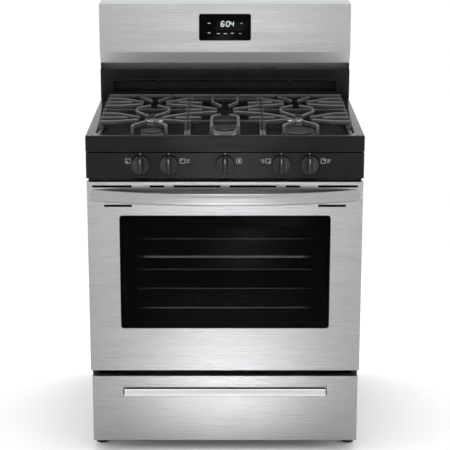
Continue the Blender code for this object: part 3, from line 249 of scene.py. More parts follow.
def slab(u, v, h, corner, edge, plane="XY", steps=7):
    """A plate with round edges: near each face its outline draws in by r(1 - cos t)."""
    turn = np.linspace(0, np.pi / 2, 5)
    inset = edge * (1 - np.cos(turn))
    rise = edge * (1 - np.sin(turn))
    low = [(grown(u, -i), grown(v, -i), corner - i, h[0] + r) for i, r in zip(inset[::-1], rise[::-1])]
    high = [(grown(u, -i), grown(v, -i), corner - i, h[1] - r) for i, r in zip(inset, rise)]
    return stack(low + high, plane, steps=steps)


def ring(outer, inner, h, plane="XZ"):
    """A flat frame: a skin from the outer outline across the face to the inner one and back."""
    order = ((outer, h[0]), (inner, h[0]), (inner, h[1]), (outer, h[1]))
    return stack([(*outline, level) for outline, level in order], plane, close=True)


def eased(points, radius, steps=5, close=False):
    """A path with its corners rounded: between a point each side of a corner p, the curve
    (1-t)^2 a + 2t(1-t) p + t^2 b."""
    points = np.asarray(points, float)
    before = np.roll(points, 1, 0)
    after = np.roll(points, -1, 0)
    back = before - points
    ahead = after - points
    back_length = np.linalg.norm(back, axis=1, keepdims=True)
    ahead_length = np.linalg.norm(ahead, axis=1, keepdims=True)
    a = points + back * np.minimum(radius / back_length, 0.45)
    b = points + ahead * np.minimum(radius / ahead_length, 0.45)
    t = np.linspace(0, 1, steps)[None, :, None]
    curve = (1 - t) ** 2 * a[:, None] + 2 * t * (1 - t) * points[:, None] + t**2 * b[:, None]
    if close:
        return curve.reshape(-1, points.shape[1])
    inside = curve[1:-1].reshape(-1, points.shape[1])
    return np.vstack([points[:1], inside, points[-1:]])


def circle(radius, steps=CHAIN):
    turn = np.arange(steps) * 2 * np.pi / steps
    return radius * np.stack([np.cos(turn), np.sin(turn)], -1)


def sweep(path, section, up=(0, 0, 1), close=False, scale=None):
    """A section carried along a path: point = path + s * side + t * normal, where side is
    up x tangent and normal is tangent x side."""
    path = np.asarray(path, float)
    if close:
        tangent = np.roll(path, -1, 0) - np.roll(path, 1, 0)
    else:
        tangent = np.gradient(path, axis=0)
    tangent /= np.linalg.norm(tangent, axis=1, keepdims=True)
    side = np.cross(np.asarray(up, float), tangent)
    side /= np.linalg.norm(side, axis=1, keepdims=True)
    normal = np.cross(tangent, side)
    size = np.ones(len(path)) if scale is None else np.asarray(scale, float)
    s = section[None, :, :1] * size[:, None, None]
    t = section[None, :, 1:] * size[:, None, None]
    return skin(path[:, None] + s * side[:, None] + t * normal[:, None], close)


def lathe(profile, centre, axis="Z", steps=48, ripple=None):
    """A profile of radius and height turned about an axis. ripple(angle, height) changes the
    radius where it isn't zero."""
    profile = np.asarray(profile, float)
    angle = np.arange(steps) * 2 * np.pi / steps
    radius = np.repeat(profile[:, :1], steps, 1)
    height = np.repeat(profile[:, 1:], steps, 1)
    if ripple is not None:
        radius = radius - ripple(angle[None, :], height) * (radius > 0)
    a, b = radius * np.cos(angle), radius * np.sin(angle)
    points = {"Z": (a, b, height), "Y": (a, -height, b), "X": (height, a, b)}[axis]
    return skin(np.stack(points, -1) + np.asarray(centre, float))


def bowl(radius, height, edge, low=0.0):
    """Profile of a disc with a rounded upper edge, from its middle below to its middle above."""
    turn = np.linspace(0, np.pi / 2, 6)
    round_edge = np.stack([radius - edge + edge * np.cos(turn), height - edge + edge * np.sin(turn)], -1)
    return [(0, low), (radius, low), *round_edge.tolist(), (0, height)]


def joined(surfaces):
    """Several surfaces as one list of points and one of faces."""
    points, faces, count = [], [], 0
    for vertices, polygons in surfaces:
        points.append(vertices)
        faces += [[index + count for index in polygon] for polygon in polygons]
        count += len(vertices)
    return np.vstack(points), faces


# ------------------------------------------------------------------ pieces
def finished(obj, material, body, nodes):
    """Gives a piece its material, its body and the frame's nodes that it replaces."""
    obj.data.materials.clear()
    obj.data.materials.append(material)
    bpy.context.scene.collection.objects.link(obj)
    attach(obj, body)
    if nodes:
        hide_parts(*nodes)
    return obj


def tidy_mesh(mesh, weld=1e-6, flat=0.0):
    """Welds a mesh, joins its level faces if asked, and turns its faces outward."""
    work = bmesh.new()
    work.from_mesh(mesh)
    bmesh.ops.remove_doubles(work, verts=work.verts, dist=weld)
    if flat:
        bmesh.ops.dissolve_limit(work, angle_limit=flat, verts=work.verts, edges=work.edges)
    bmesh.ops.recalc_face_normals(work, faces=work.faces)
    work.to_mesh(mesh)
    work.free()
    mesh.update()


def piece(name, surfaces, material, body, nodes=(), crease=38):
    """A new piece from its surfaces, smooth except along edges sharper than the crease."""
    vertices, faces = joined(surfaces)
    mesh = bpy.data.meshes.new(name)
    mesh.from_pydata(vertices.tolist(), [], faces)
    tidy_mesh(mesh)
    mesh.shade_smooth()
    mesh.set_sharp_from_angle(angle=math.radians(crease))
    return finished(bpy.data.objects.new(name, mesh), material, body, nodes)


def made_of(stock, name, surfaces, body, nodes=(), crease=38):
    """A piece in one of the plain finishes, whose name is its slot's name too."""
    return piece(name, surfaces, plain(stock), body, nodes, crease)


def pressed(node, material, body, radius, segments=3, crease=32):
    """A copy of a node's solid, welded, with a round fold along every edge that has a real
    angle. Each fold's normals lean on the level faces beside it."""
    mesh = NODES[node].data.copy()
    mesh.name = f"{node}_shell"
    tidy_mesh(mesh, SHEET_WELD, LEVEL_ANGLE)
    mesh.shade_smooth()
    obj = finished(bpy.data.objects.new(f"{node}_shell", mesh), material, body, (node,))
    fold = obj.modifiers.new("fold", "BEVEL")
    fold.width = radius
    fold.segments = segments
    fold.limit_method = "ANGLE"
    fold.angle_limit = math.radians(crease)
    level = obj.modifiers.new("level", "WEIGHTED_NORMAL")
    level.mode = "FACE_AREA"
    level.weight = 100
    return obj


# ------------------------------------------------------------------ finishes
def blank(name):
    """A new node material: its nodes, its links, its shader and its object coordinates."""
    material = bpy.data.materials.new(name)
    material.use_nodes = True
    nodes, links = material.node_tree.nodes, material.node_tree.links
    where = nodes.new("ShaderNodeTexCoord").outputs["Object"]
    return material, nodes, links, nodes["Principled BSDF"], where


def noise(nodes, links, where, grain, detail=4.0, roughness=0.55):
    """Noise with its own number of cycles per metre along x, y and z."""
    mapping = nodes.new("ShaderNodeMapping")
    mapping.inputs["Scale"].default_value = grain
    texture = nodes.new("ShaderNodeTexNoise")
    texture.inputs["Scale"].default_value = 1.0
    texture.inputs["Detail"].default_value = detail
    texture.inputs["Roughness"].default_value = roughness
    links.new(where, mapping.inputs["Vector"])
    links.new(mapping.outputs["Vector"], texture.inputs["Vector"])
    return texture.outputs["Fac"]


def cells(nodes, links, where, scale, output="Distance"):
    """Cells of a given number per metre: the distance from each centre, or a colour for each."""
    texture = nodes.new("ShaderNodeTexVoronoi")
    texture.inputs["Scale"].default_value = scale
    links.new(where, texture.inputs["Vector"])
    return texture.outputs[output]


def tinted(nodes, links, factor, low, high, spread=(0.3, 0.7)):
    """Two colours, from low to high as the factor crosses its spread."""
    ramp = nodes.new("ShaderNodeValToRGB")
    for element, place, tone in zip(ramp.color_ramp.elements, spread, (low, high)):
        element.position = place
        element.color = (*tone, 1.0)
    links.new(factor, ramp.inputs["Fac"])
    return ramp.outputs["Color"]


def ranged(nodes, links, factor, low, high, spread=(0.3, 0.7)):
    """A number, from low to high as the factor crosses its spread."""
    level = nodes.new("ShaderNodeMapRange")
    for index, value in enumerate((*spread, low, high), start=1):
        level.inputs[index].default_value = value
    links.new(factor, level.inputs["Value"])
    return level.outputs["Result"]


def raised(nodes, links, shader, factor, height):
    """Bump of a given height in metres."""
    bump = nodes.new("ShaderNodeBump")
    bump.inputs["Distance"].default_value = height
    bump.inputs["Strength"].default_value = 1.0
    links.new(factor, bump.inputs["Height"])
    links.new(bump.outputs["Normal"], shader.inputs["Normal"])


def toned(tone, amount):
    """A colour made lighter or darker by a factor."""
    return tuple(min(value * amount, 1.0) for value in tone)


def coated(name, tone, contrast, roughness, grain, height, metallic=0.0, detail=4.0, **fixed):
    """A finish whose colour, roughness and bump follow one noise. contrast is the spread of
    its tone about the colour, and fixed holds shader inputs that are the same all over."""
    material, nodes, links, shader, where = blank(name)
    factor = noise(nodes, links, where, grain, detail)
    shade = tinted(nodes, links, factor, toned(tone, 1 - contrast), toned(tone, 1 + contrast))
    links.new(shade, shader.inputs["Base Color"])
    links.new(ranged(nodes, links, factor, *roughness), shader.inputs["Roughness"])
    shader.inputs["Metallic"].default_value = metallic
    if not metallic:
        shader.inputs["Specular IOR Level"].default_value = SHEEN
    for socket, value in fixed.items():
        shader.inputs[socket.replace("_", " ")].default_value = value
    raised(nodes, links, shader, factor, height)
    return material


@cache
def stainless(name="brushed_stainless", contrast=0.05, roughness=(0.24, 0.32), metallic=1.0, painted_light_lift=1.0):
    """Steel brushed from side to side: fine long scratches over a faint broad unevenness.
    Its last argument makes its colour paler than the sheet's. This is painted light, for faces that the
    lamps leave darker than wanted."""
    material, nodes, links, shader, where = blank(name)
    scratch = noise(nodes, links, where, (5.0, 900.0, 900.0), 3.0)
    broad = noise(nodes, links, where, (3.0, 6.0, 40.0), 2.0)
    # a factor above 1 paints light into the steel's colour
    tone = toned(colours().steel, painted_light_lift)
    shade = tinted(nodes, links, scratch, toned(tone, 1 - contrast), toned(tone, 1 + contrast))
    links.new(shade, shader.inputs["Base Color"])
    mix = nodes.new("ShaderNodeMath")
    mix.operation = "ADD"
    links.new(ranged(nodes, links, scratch, *roughness), mix.inputs[0])
    links.new(ranged(nodes, links, broad, -0.02, 0.03), mix.inputs[1])
    links.new(mix.outputs[0], shader.inputs["Roughness"])
    shader.inputs["Metallic"].default_value = metallic
    raised(nodes, links, shader, scratch, 0.00002)
    return material


@cache
def enamel():
    return coated(
        "black_enamel", colours().enamel, 0.15, (0.10, 0.17), (14.0,) * 3, 0.00006,
        Specular_IOR_Level=0.08,
    )


@cache
def frame_enamel():
    return coated("black_frame_enamel", colours().enamel, 0.2, (0.22, 0.34), (120.0,) * 3, 0.00003)


@cache
def body_paint():
    return coated("black_body_paint", colours().body, 0.18, (0.34, 0.48), (900.0,) * 3, 0.00004, detail=2.0)


@cache
def oven_enamel():
    """Dark enamel with fine pale specks and a slight ripple."""
    material, nodes, links, shader, where = blank("oven_enamel")
    speck = cells(nodes, links, where, 420.0)
    tone = colours().oven
    shade = tinted(nodes, links, speck, (0.02, 0.021, 0.022), tone, (0.08, 0.16))
    links.new(shade, shader.inputs["Base Color"])
    ripple = noise(nodes, links, where, (30.0,) * 3, 2.0)
    links.new(ranged(nodes, links, ripple, 0.20, 0.32), shader.inputs["Roughness"])
    shader.inputs["Specular IOR Level"].default_value = 0.08
    raised(nodes, links, shader, ripple, 0.0001)
    return material


@cache
def cast_iron():
    """Matt enamelled iron: a pebbled skin over a broad unevenness of its sheen."""
    material, nodes, links, shader, where = blank("cast_iron")
    pebble = noise(nodes, links, where, (1100.0,) * 3, 3.0)
    broad = noise(nodes, links, where, (35.0,) * 3, 3.0)
    tone = colours().iron
    shade = tinted(nodes, links, broad, toned(tone, 0.75), toned(tone, 1.25))
    links.new(shade, shader.inputs["Base Color"])
    links.new(ranged(nodes, links, pebble, 0.36, 0.56), shader.inputs["Roughness"])
    raised(nodes, links, shader, pebble, 0.00012)
    return material


@cache
def galvanised():
    """Zinc spangle: each cell has its own grey."""
    material, nodes, links, shader, where = blank("galvanised_steel")
    spangle = cells(nodes, links, where, 190.0, "Color")
    grey = nodes.new("ShaderNodeRGBToBW")
    links.new(spangle, grey.inputs["Color"])
    level = grey.outputs["Val"]
    shade = tinted(nodes, links, level, (0.33, 0.345, 0.36), (0.40, 0.415, 0.425))
    links.new(shade, shader.inputs["Base Color"])
    links.new(ranged(nodes, links, level, 0.34, 0.50), shader.inputs["Roughness"])
    shader.inputs["Metallic"].default_value = 1.0
    return material


@cache
def circuit_board():
    """Green lacquer over copper tracks that run in steps."""
    material, nodes, links, shader, where = blank("circuit_board")
    track = nodes.new("ShaderNodeTexBrick")
    track.inputs["Scale"].default_value = 90.0
    track.inputs["Color1"].default_value = (0.012, 0.10, 0.035, 1.0)
    track.inputs["Color2"].default_value = (0.016, 0.13, 0.045, 1.0)
    track.inputs["Mortar"].default_value = (0.06, 0.24, 0.07, 1.0)
    turn = nodes.new("ShaderNodeMapping")
    turn.inputs["Rotation"].default_value = (math.pi / 2, 0.0, 0.0)
    links.new(where, turn.inputs["Vector"])
    links.new(turn.outputs["Vector"], track.inputs["Vector"])
    links.new(track.outputs["Color"], shader.inputs["Base Color"])
    links.new(ranged(nodes, links, track.outputs["Fac"], 0.5, 0.3, (0, 1)), shader.inputs["Roughness"])
    return material


@cache
def gasket_braid():
    """Woven glass fibre: small crossed cells."""
    material, nodes, links, shader, where = blank("gasket_braid")
    weave = cells(nodes, links, where, 700.0)
    shade = tinted(nodes, links, weave, (0.16, 0.155, 0.145), (0.05, 0.05, 0.048))
    links.new(shade, shader.inputs["Base Color"])
    links.new(ranged(nodes, links, weave, 0.75, 0.95), shader.inputs["Roughness"])
    raised(nodes, links, shader, weave, -0.0004)
    return material


@cache
def pane(name, tone, alpha):
    """Glass that lets a part of the light straight through, with faint smears in its gloss."""
    return coated(
        name, tone, 0.1, (0.015, 0.045), (9.0,) * 3, 0.0,
        Alpha=alpha, Specular_IOR_Level=0.04,
    )


def lit(name, tone, strength):
    """A lit segment, a little uneven like a real one."""
    material, nodes, links, shader, where = blank(name)
    factor = noise(nodes, links, where, (300.0,) * 3, 2.0)
    shade = tinted(nodes, links, factor, toned(tone, 0.88), tone)
    links.new(shade, shader.inputs["Base Color"])
    links.new(shade, shader.inputs["Emission Color"])
    shader.inputs["Emission Strength"].default_value = strength
    shader.inputs["Roughness"].default_value = 0.4
    return material


# colour, contrast, roughness, grain, height of its bumps, metallic
PLAIN = {
    "knob_plastic": ((0.006, 0.006, 0.0065), 0.15, (0.24, 0.34), (700.0,) * 3, 0.00003, 0.0),
    "black_plastic": ((0.014, 0.014, 0.015), 0.15, (0.40, 0.55), (500.0,) * 3, 0.00006, 0.0),
    "rubber": ((0.018, 0.018, 0.018), 0.2, (0.65, 0.8), (400.0,) * 3, 0.0001, 0.0),
    "cap_enamel": ((0.018, 0.0185, 0.019), 0.2, (0.30, 0.42), (260.0,) * 3, 0.00005, 0.0),
    "burner_aluminium": ((0.80, 0.80, 0.79), 0.08, (0.34, 0.50), (420.0,) * 3, 0.00008, 1.0),
    "aluminised_pipe": ((0.42, 0.42, 0.41), 0.15, (0.40, 0.58), (90.0,) * 3, 0.00004, 1.0),
    "stem_steel": ((0.55, 0.55, 0.56), 0.08, (0.22, 0.34), (40.0, 900.0, 40.0), 0.00002, 1.0),
    "chrome_wire": ((0.80, 0.80, 0.81), 0.06, (0.20, 0.28), (60.0,) * 3, 0.00002, 1.0),
    "brass": ((0.62, 0.46, 0.20), 0.1, (0.22, 0.38), (150.0,) * 3, 0.00003, 1.0),
    "ceramic": ((0.72, 0.70, 0.65), 0.05, (0.35, 0.5), (300.0,) * 3, 0.00003, 0.0),
    "white_ink": ((0.50, 0.51, 0.51), 0.05, (0.45, 0.6), (300.0,) * 3, 0.0, 0.0),
    "grey_ink": ((0.36, 0.37, 0.37), 0.08, (0.45, 0.6), (300.0,) * 3, 0.0, 0.0),
}


@cache
def plain(name):
    """One of the listed finishes."""
    return coated(name, *PLAIN[name])


@cache
def black_glass():
    return coated(
        "black_glass", (0.0010, 0.0011, 0.0012), 0.2, (0.03, 0.06), (8.0,) * 3, 0.0,
        Specular_IOR_Level=0.03,
    )


# ------------------------------------------------------------------ stage
class GASRANGE_OT_stage(bpy.types.Operator):
    """Pale floor, soft lights, even white surroundings and the camera"""

    bl_idname = "gas_range.stage"
    bl_label = "Stage"

    floor_reach = 30.0
    floor_corner = 4.0
    floor_drop = 0.0005
    floor_tone = (0.92, 0.92, 0.92)
    white = (1.12, 1.12, 1.125, 1.0)
    lens = 125.0
    camera_place = (0.0, -4.447, 1.765)
    camera_pitch = math.radians(14.85)
    # place, aim, width, height, power, spread: one over the cooktop, two that draw a bright
    # strip on the floor in front for the steel to mirror, one far in front, one in the oven
    lamps = (
        ((0.0, 0.6, 2.6), (0.0, 0.0, 0.9), 1.6, 1.0, 8.0, 100),
        ((0.0, -1.05, 2.0), (0.0, -1.05, 0.0), 0.20, 1.1, 3.8, 20),
        ((0.0, -3.9, 2.0), (0.0, -3.9, 0.0), 0.26, 3.0, 21.0, 20),
        ((0.0, -6.0, 0.48), (0.0, 0.0, 0.80), 1.2, 0.8, 8.0, 180),
        ((0.0, -0.244, 0.50), (0.0, 1.0, 0.50), 0.46, 0.24, 0.25, 150),
    )

    def execute(self, context):
        self.make_floor()
        for number, lamp in enumerate(self.lamps, start=1):
            self.make_lamp(f"soft_light_{number}", *lamp)
        self.make_surroundings(context)
        self.make_camera(context)
        return {"FINISHED"}

    def make_floor(self):
        mesh = bpy.data.meshes.new("floor")
        reach = span(self.floor_reach)
        outline = placed(rounded_loop(reach, reach, self.floor_corner, 12), -self.floor_drop, "XY")
        mesh.from_pydata(outline.tolist(), [], [list(range(len(outline)))])
        floor = bpy.data.objects.new("floor", mesh)
        mesh.materials.append(coated("pale_floor", self.floor_tone, 0.015, (0.6, 0.7), (3.0,) * 3, 0.0))
        bpy.context.scene.collection.objects.link(floor)

    def make_lamp(self, name, place, aim, width, height, power, spread):
        """A flat lamp turned to face its aim."""
        light = bpy.data.lights.new(name, "AREA")
        light.shape = "RECTANGLE"
        light.size = width
        light.size_y = height
        light.energy = power
        light.spread = math.radians(spread)
        lamp = bpy.data.objects.new(name, light)
        lamp.location = place
        away = np.asarray(place) - np.asarray(aim)
        flat = math.hypot(away[0], away[1])
        lamp.rotation_euler = (math.atan2(flat, away[2]), 0.0, math.atan2(away[0], -away[1]))
        lamp.visible_camera = False
        bpy.context.scene.collection.objects.link(lamp)

    def make_surroundings(self, context):
        """An even white all round, shown as it is."""
        world = bpy.data.worlds.new("studio")
        world.use_nodes = True
        world.node_tree.nodes["Background"].inputs["Color"].default_value = self.white
        context.scene.world = world
        context.scene.view_settings.view_transform = "Standard"

    def make_camera(self, context):
        data = bpy.data.cameras.new("camera")
        data.lens = self.lens
        data.sensor_width = 36.0
        data.clip_end = 100.0
        camera = bpy.data.objects.new("camera", data)
        camera.location = self.camera_place
        camera.rotation_euler = (math.pi / 2 - self.camera_pitch, 0.0, 0.0)
        context.scene.collection.objects.link(camera)
        context.scene.camera = camera


# ------------------------------------------------------------------ chassis
class GASRANGE_OT_chassis(bpy.types.Operator):
    """Side panels, rear cover, base and front frames, feet and services"""

    bl_idname = "gas_range.chassis"
    bl_label = "Chassis"

    foot_ribs = 24
    foot_tall = 0.012
    rib_depth = 0.0007
    stud_radius = 0.005
    thread_depth = 0.0006
    thread_pitch = 0.00175

    def execute(self, context):
        fold, edge = sizes().fold, sizes().edge
        for side in ("left", "right"):
            pressed(f"side_panel_{side}", body_paint(), ROOT, fold)
        pressed("rear_cover", galvanised(), ROOT, fold)
        pressed("base_frame", galvanised(), ROOT, edge)
        pressed("front_frame", frame_enamel(), ROOT, edge)
        pressed("gas_manifold", plain("aluminised_pipe"), ROOT, edge)
        pressed("gas_inlet", plain("brass"), ROOT, edge, 2)
        pressed("power_cord_bushing", plain("black_plastic"), ROOT, edge, 2)
        for row in ("front", "rear"):
            for side in ("left", "right"):
                self.make_foot(f"leveling_foot_{row}_{side}")
        return {"FINISHED"}

    def make_foot(self, node):
        """A ribbed plastic pad under a threaded stud: both profiles turned about the stud."""
        x, y, z = box(node)
        radius = (x[1] - x[0]) / 2
        centre = (middle(x), middle(y), 0.0)
        tall = self.foot_tall
        pad = [(0, 0.0), (radius - 0.002, 0.0), (radius, 0.002), (radius, tall - 0.003)]
        pad += [(radius - 0.003, tall), (0, tall)]

        def grooves(angle, height):
            return self.rib_depth * (np.cos(angle * self.foot_ribs) > 0.2)

        heights = np.arange(tall, z[1], self.thread_pitch / 2)
        radii = self.stud_radius - self.thread_depth * (np.arange(len(heights)) % 2)
        stud = [(0, heights[0]), *np.stack([radii, heights], -1).tolist(), (0, heights[-1])]
        surfaces = [lathe(pad, centre, steps=96, ripple=grooves), lathe(stud, centre, steps=20)]
        made_of("black_plastic", f"{node}_pad", surfaces, ROOT, (node,))


# ------------------------------------------------------------------ oven
class GASRANGE_OT_oven(bpy.types.Operator):
    """Oven liner, floor, burners, lamp, probe and gasket"""

    bl_idname = "gas_range.oven"
    bl_label = "Oven"

    gasket_radius = 0.0021
    gasket_half = 0.0048
    gasket_corner = 0.014
    port_radius = 0.0018
    port_pitch = 0.018

    def execute(self, context):
        for node in ("oven_liner", "oven_floor"):
            pressed(node, oven_enamel(), ROOT, sizes().edge)
        for node in ("bake_burner", "broil_burner"):
            self.make_burner(node)
        self.make_lamp()
        self.make_probe()
        self.make_gasket()
        return {"FINISHED"}

    def make_burner(self, node):
        """A round tube along a hairpin, with small raised ports along both legs."""
        x, y, z = box(node)
        radius = (z[1] - z[0]) / 2
        spread = (x[1] - x[0]) / 2 - radius
        turn = np.linspace(np.pi, 2 * np.pi, 25)
        front = y[0] + radius + spread
        bend = np.stack([spread * np.cos(turn), front + spread * np.sin(turn)], -1)
        flat = np.vstack([[(-spread, y[1])], bend, [(spread, y[1])]])
        path = np.hstack([flat, np.full((len(flat), 1), middle(z))])
        surfaces = [sweep(path, circle(radius, 20))]
        out = 1 if node == "bake_burner" else -1
        for side in (-1, 1):
            for place in np.arange(front, y[1] - 0.03, self.port_pitch):
                centre = (side * spread, place, middle(z) + out * (radius - 0.0006))
                lip = bowl(self.port_radius, 0.0012, 0.0004)
                surfaces.append(lathe([(r, out * h) for r, h in lip], centre, steps=8))
        made_of("aluminised_pipe", f"{node}_tube", surfaces, ROOT, (node,))

    def make_lamp(self):
        """A domed glass over a turned collar, facing the oven's mouth."""
        x, y, z = box("oven_lamp")
        radius = (x[1] - x[0]) / 2
        tall = y[1] - y[0]
        turn = np.linspace(0, np.pi / 2, 9)
        dome = np.stack([(radius - 0.004) * np.cos(turn), tall * (0.35 + 0.62 * np.sin(turn))], -1)
        top = tall * 0.38
        collar = [(0, 0), (radius, 0), (radius, tall * 0.3), (radius - 0.002, top), (0, top)]
        centre = (middle(x), y[1], middle(z))
        surfaces = [lathe(collar, centre, "Y"), lathe([(0, tall * 0.2), *dome.tolist()], centre, "Y")]
        glass = pane("clear_glass", (0.35, 0.35, 0.33), 0.75)
        piece("oven_lamp_dome", surfaces, glass, ROOT, ("oven_lamp",))

    def make_probe(self):
        """A thin rod with a rounded tip."""
        x, y, z = box("temperature_probe")
        radius = (x[1] - x[0]) / 2
        tall = y[1] - y[0]
        turn = np.linspace(0, np.pi / 2, 6)
        tip = np.stack([radius * np.cos(turn), tall - radius + radius * np.sin(turn)], -1)
        rod = [(0, 0), (radius, 0), *tip.tolist()]
        surface = lathe(rod, (middle(x), y[1], middle(z)), "Y", 20)
        made_of("stem_steel", "temperature_probe_rod", [surface], ROOT, ("temperature_probe",))

    def make_gasket(self):
        """A braided rope round the oven's mouth: a circle carried round a rounded rectangle."""
        x, y, z = box("oven_gasket")
        reach = (x[1] - x[0]) / 2 - 0.005
        flat = rounded_loop(span(reach), grown(z, -0.005), self.gasket_corner, 9)
        section = circle(1.0, 14) * np.array([self.gasket_radius, self.gasket_half])
        rope = sweep(placed(flat, middle(y), "XZ"), section[:, ::-1], (0, 1, 0), True)
        piece("oven_gasket_rope", [rope], gasket_braid(), ROOT, ("oven_gasket",))


class GASRANGE_OT_racks(bpy.types.Operator):
    """Two oven racks of round chromed wire"""

    bl_idname = "gas_range.racks"
    bl_label = "Racks"

    corner = 0.012
    thin_share = 0.72           # a straight wire's radius beside the frame's
    lip_set = 0.016             # the wire behind the front edge

    def execute(self, context):
        for which in ("lower", "upper"):
            self.make_rack(f"oven_rack_{which}")
        return {"FINISHED"}

    def make_rack(self, node):
        """Straight wires one pitch apart, turned up a little at the front, over a rounded
        rectangle and a cross wire, with a second wire under the front edge."""
        x, y, z = box(node)
        radius = (z[1] - z[0]) / 2
        thin = radius * self.thin_share
        level = middle(z)
        frame_loop = rounded_loop(grown(x, -radius), grown(y, -radius), self.corner, 6)
        surfaces = [sweep(placed(frame_loop, level, "XY"), circle(radius), close=True)]
        count = int((x[1] - 2 * radius) / RACK_PITCH)
        for place in np.arange(-count, count + 1) * RACK_PITCH:
            wire = [
                (place, y[0] + thin * 0.8, level - thin),
                (place, y[0] + thin * 1.2, level + RACK_TICK),
                (place, y[0] + radius * 4, level + thin * 0.6),
                (place, y[1] - radius * 2, level + thin * 0.6),
                (place, y[1] - thin, level),
            ]
            surfaces.append(sweep(eased(wire, 0.004, 4), circle(thin, 10), (1, 0, 0)))
        half = x[1] - radius
        for depth, low in ((middle(y), radius * 0.4), (y[0] + self.lip_set, radius * 0.5)):
            cross = [(-half, depth, level - low), (half, depth, level - low)]
            surfaces.append(sweep(cross, circle(thin), (0, 0, 1)))
        made_of("chrome_wire", f"{node}_wires", surfaces, node, (node,))


# ------------------------------------------------------------------ cooktop
class GASRANGE_OT_deck(bpy.types.Operator):
    """Enamelled cooktop with a rolled rim and a deep well"""

    bl_idname = "gas_range.deck"
    bl_label = "Cooktop deck"

    corner = 0.006
    lip = 0.004
    well_draw = 0.003
    well_tighten = 0.004

    def execute(self, context):
        """The outline shrinks by r(1 - cos t) over the rim's rolled edge, crosses the ledge,
        and turns down into the well by the same rule."""
        top = DECK_Z[1]
        well_x = grown(DECK_X, -RIM_SIDE)
        well_y = (DECK_Y[0] + RIM_FRONT, WELL_BACK)
        stations = [(DECK_X, DECK_Y, self.corner, DECK_Z[0])]

        def add(u, v, grow, corner, level):
            stations.append((grown(u, grow), grown(v, grow), corner, level))

        turn = np.linspace(0, np.pi / 2, 6)
        for t in turn:
            level = top - RIM_ROUND * (1 - math.sin(t))
            add(DECK_X, DECK_Y, -RIM_ROUND * (1 - math.cos(t)), self.corner, level)
        for t in turn:
            out = self.lip * (1 - math.sin(t))
            add(well_x, well_y, out, WELL_CORNER + out, top - self.lip * (1 - math.cos(t)))
        for t in turn:
            inset = self.well_draw + WELL_ROUND * (1 - math.cos(t))
            level = FLOOR_LEVEL + WELL_ROUND * (1 - math.sin(t))
            add(well_x, well_y, -inset, WELL_CORNER - self.well_tighten, level)
        deck = [stack(stations)]
        piece("cooktop_deck_pressing", deck, enamel(), ROOT, ("cooktop_deck",))
        return {"FINISHED"}


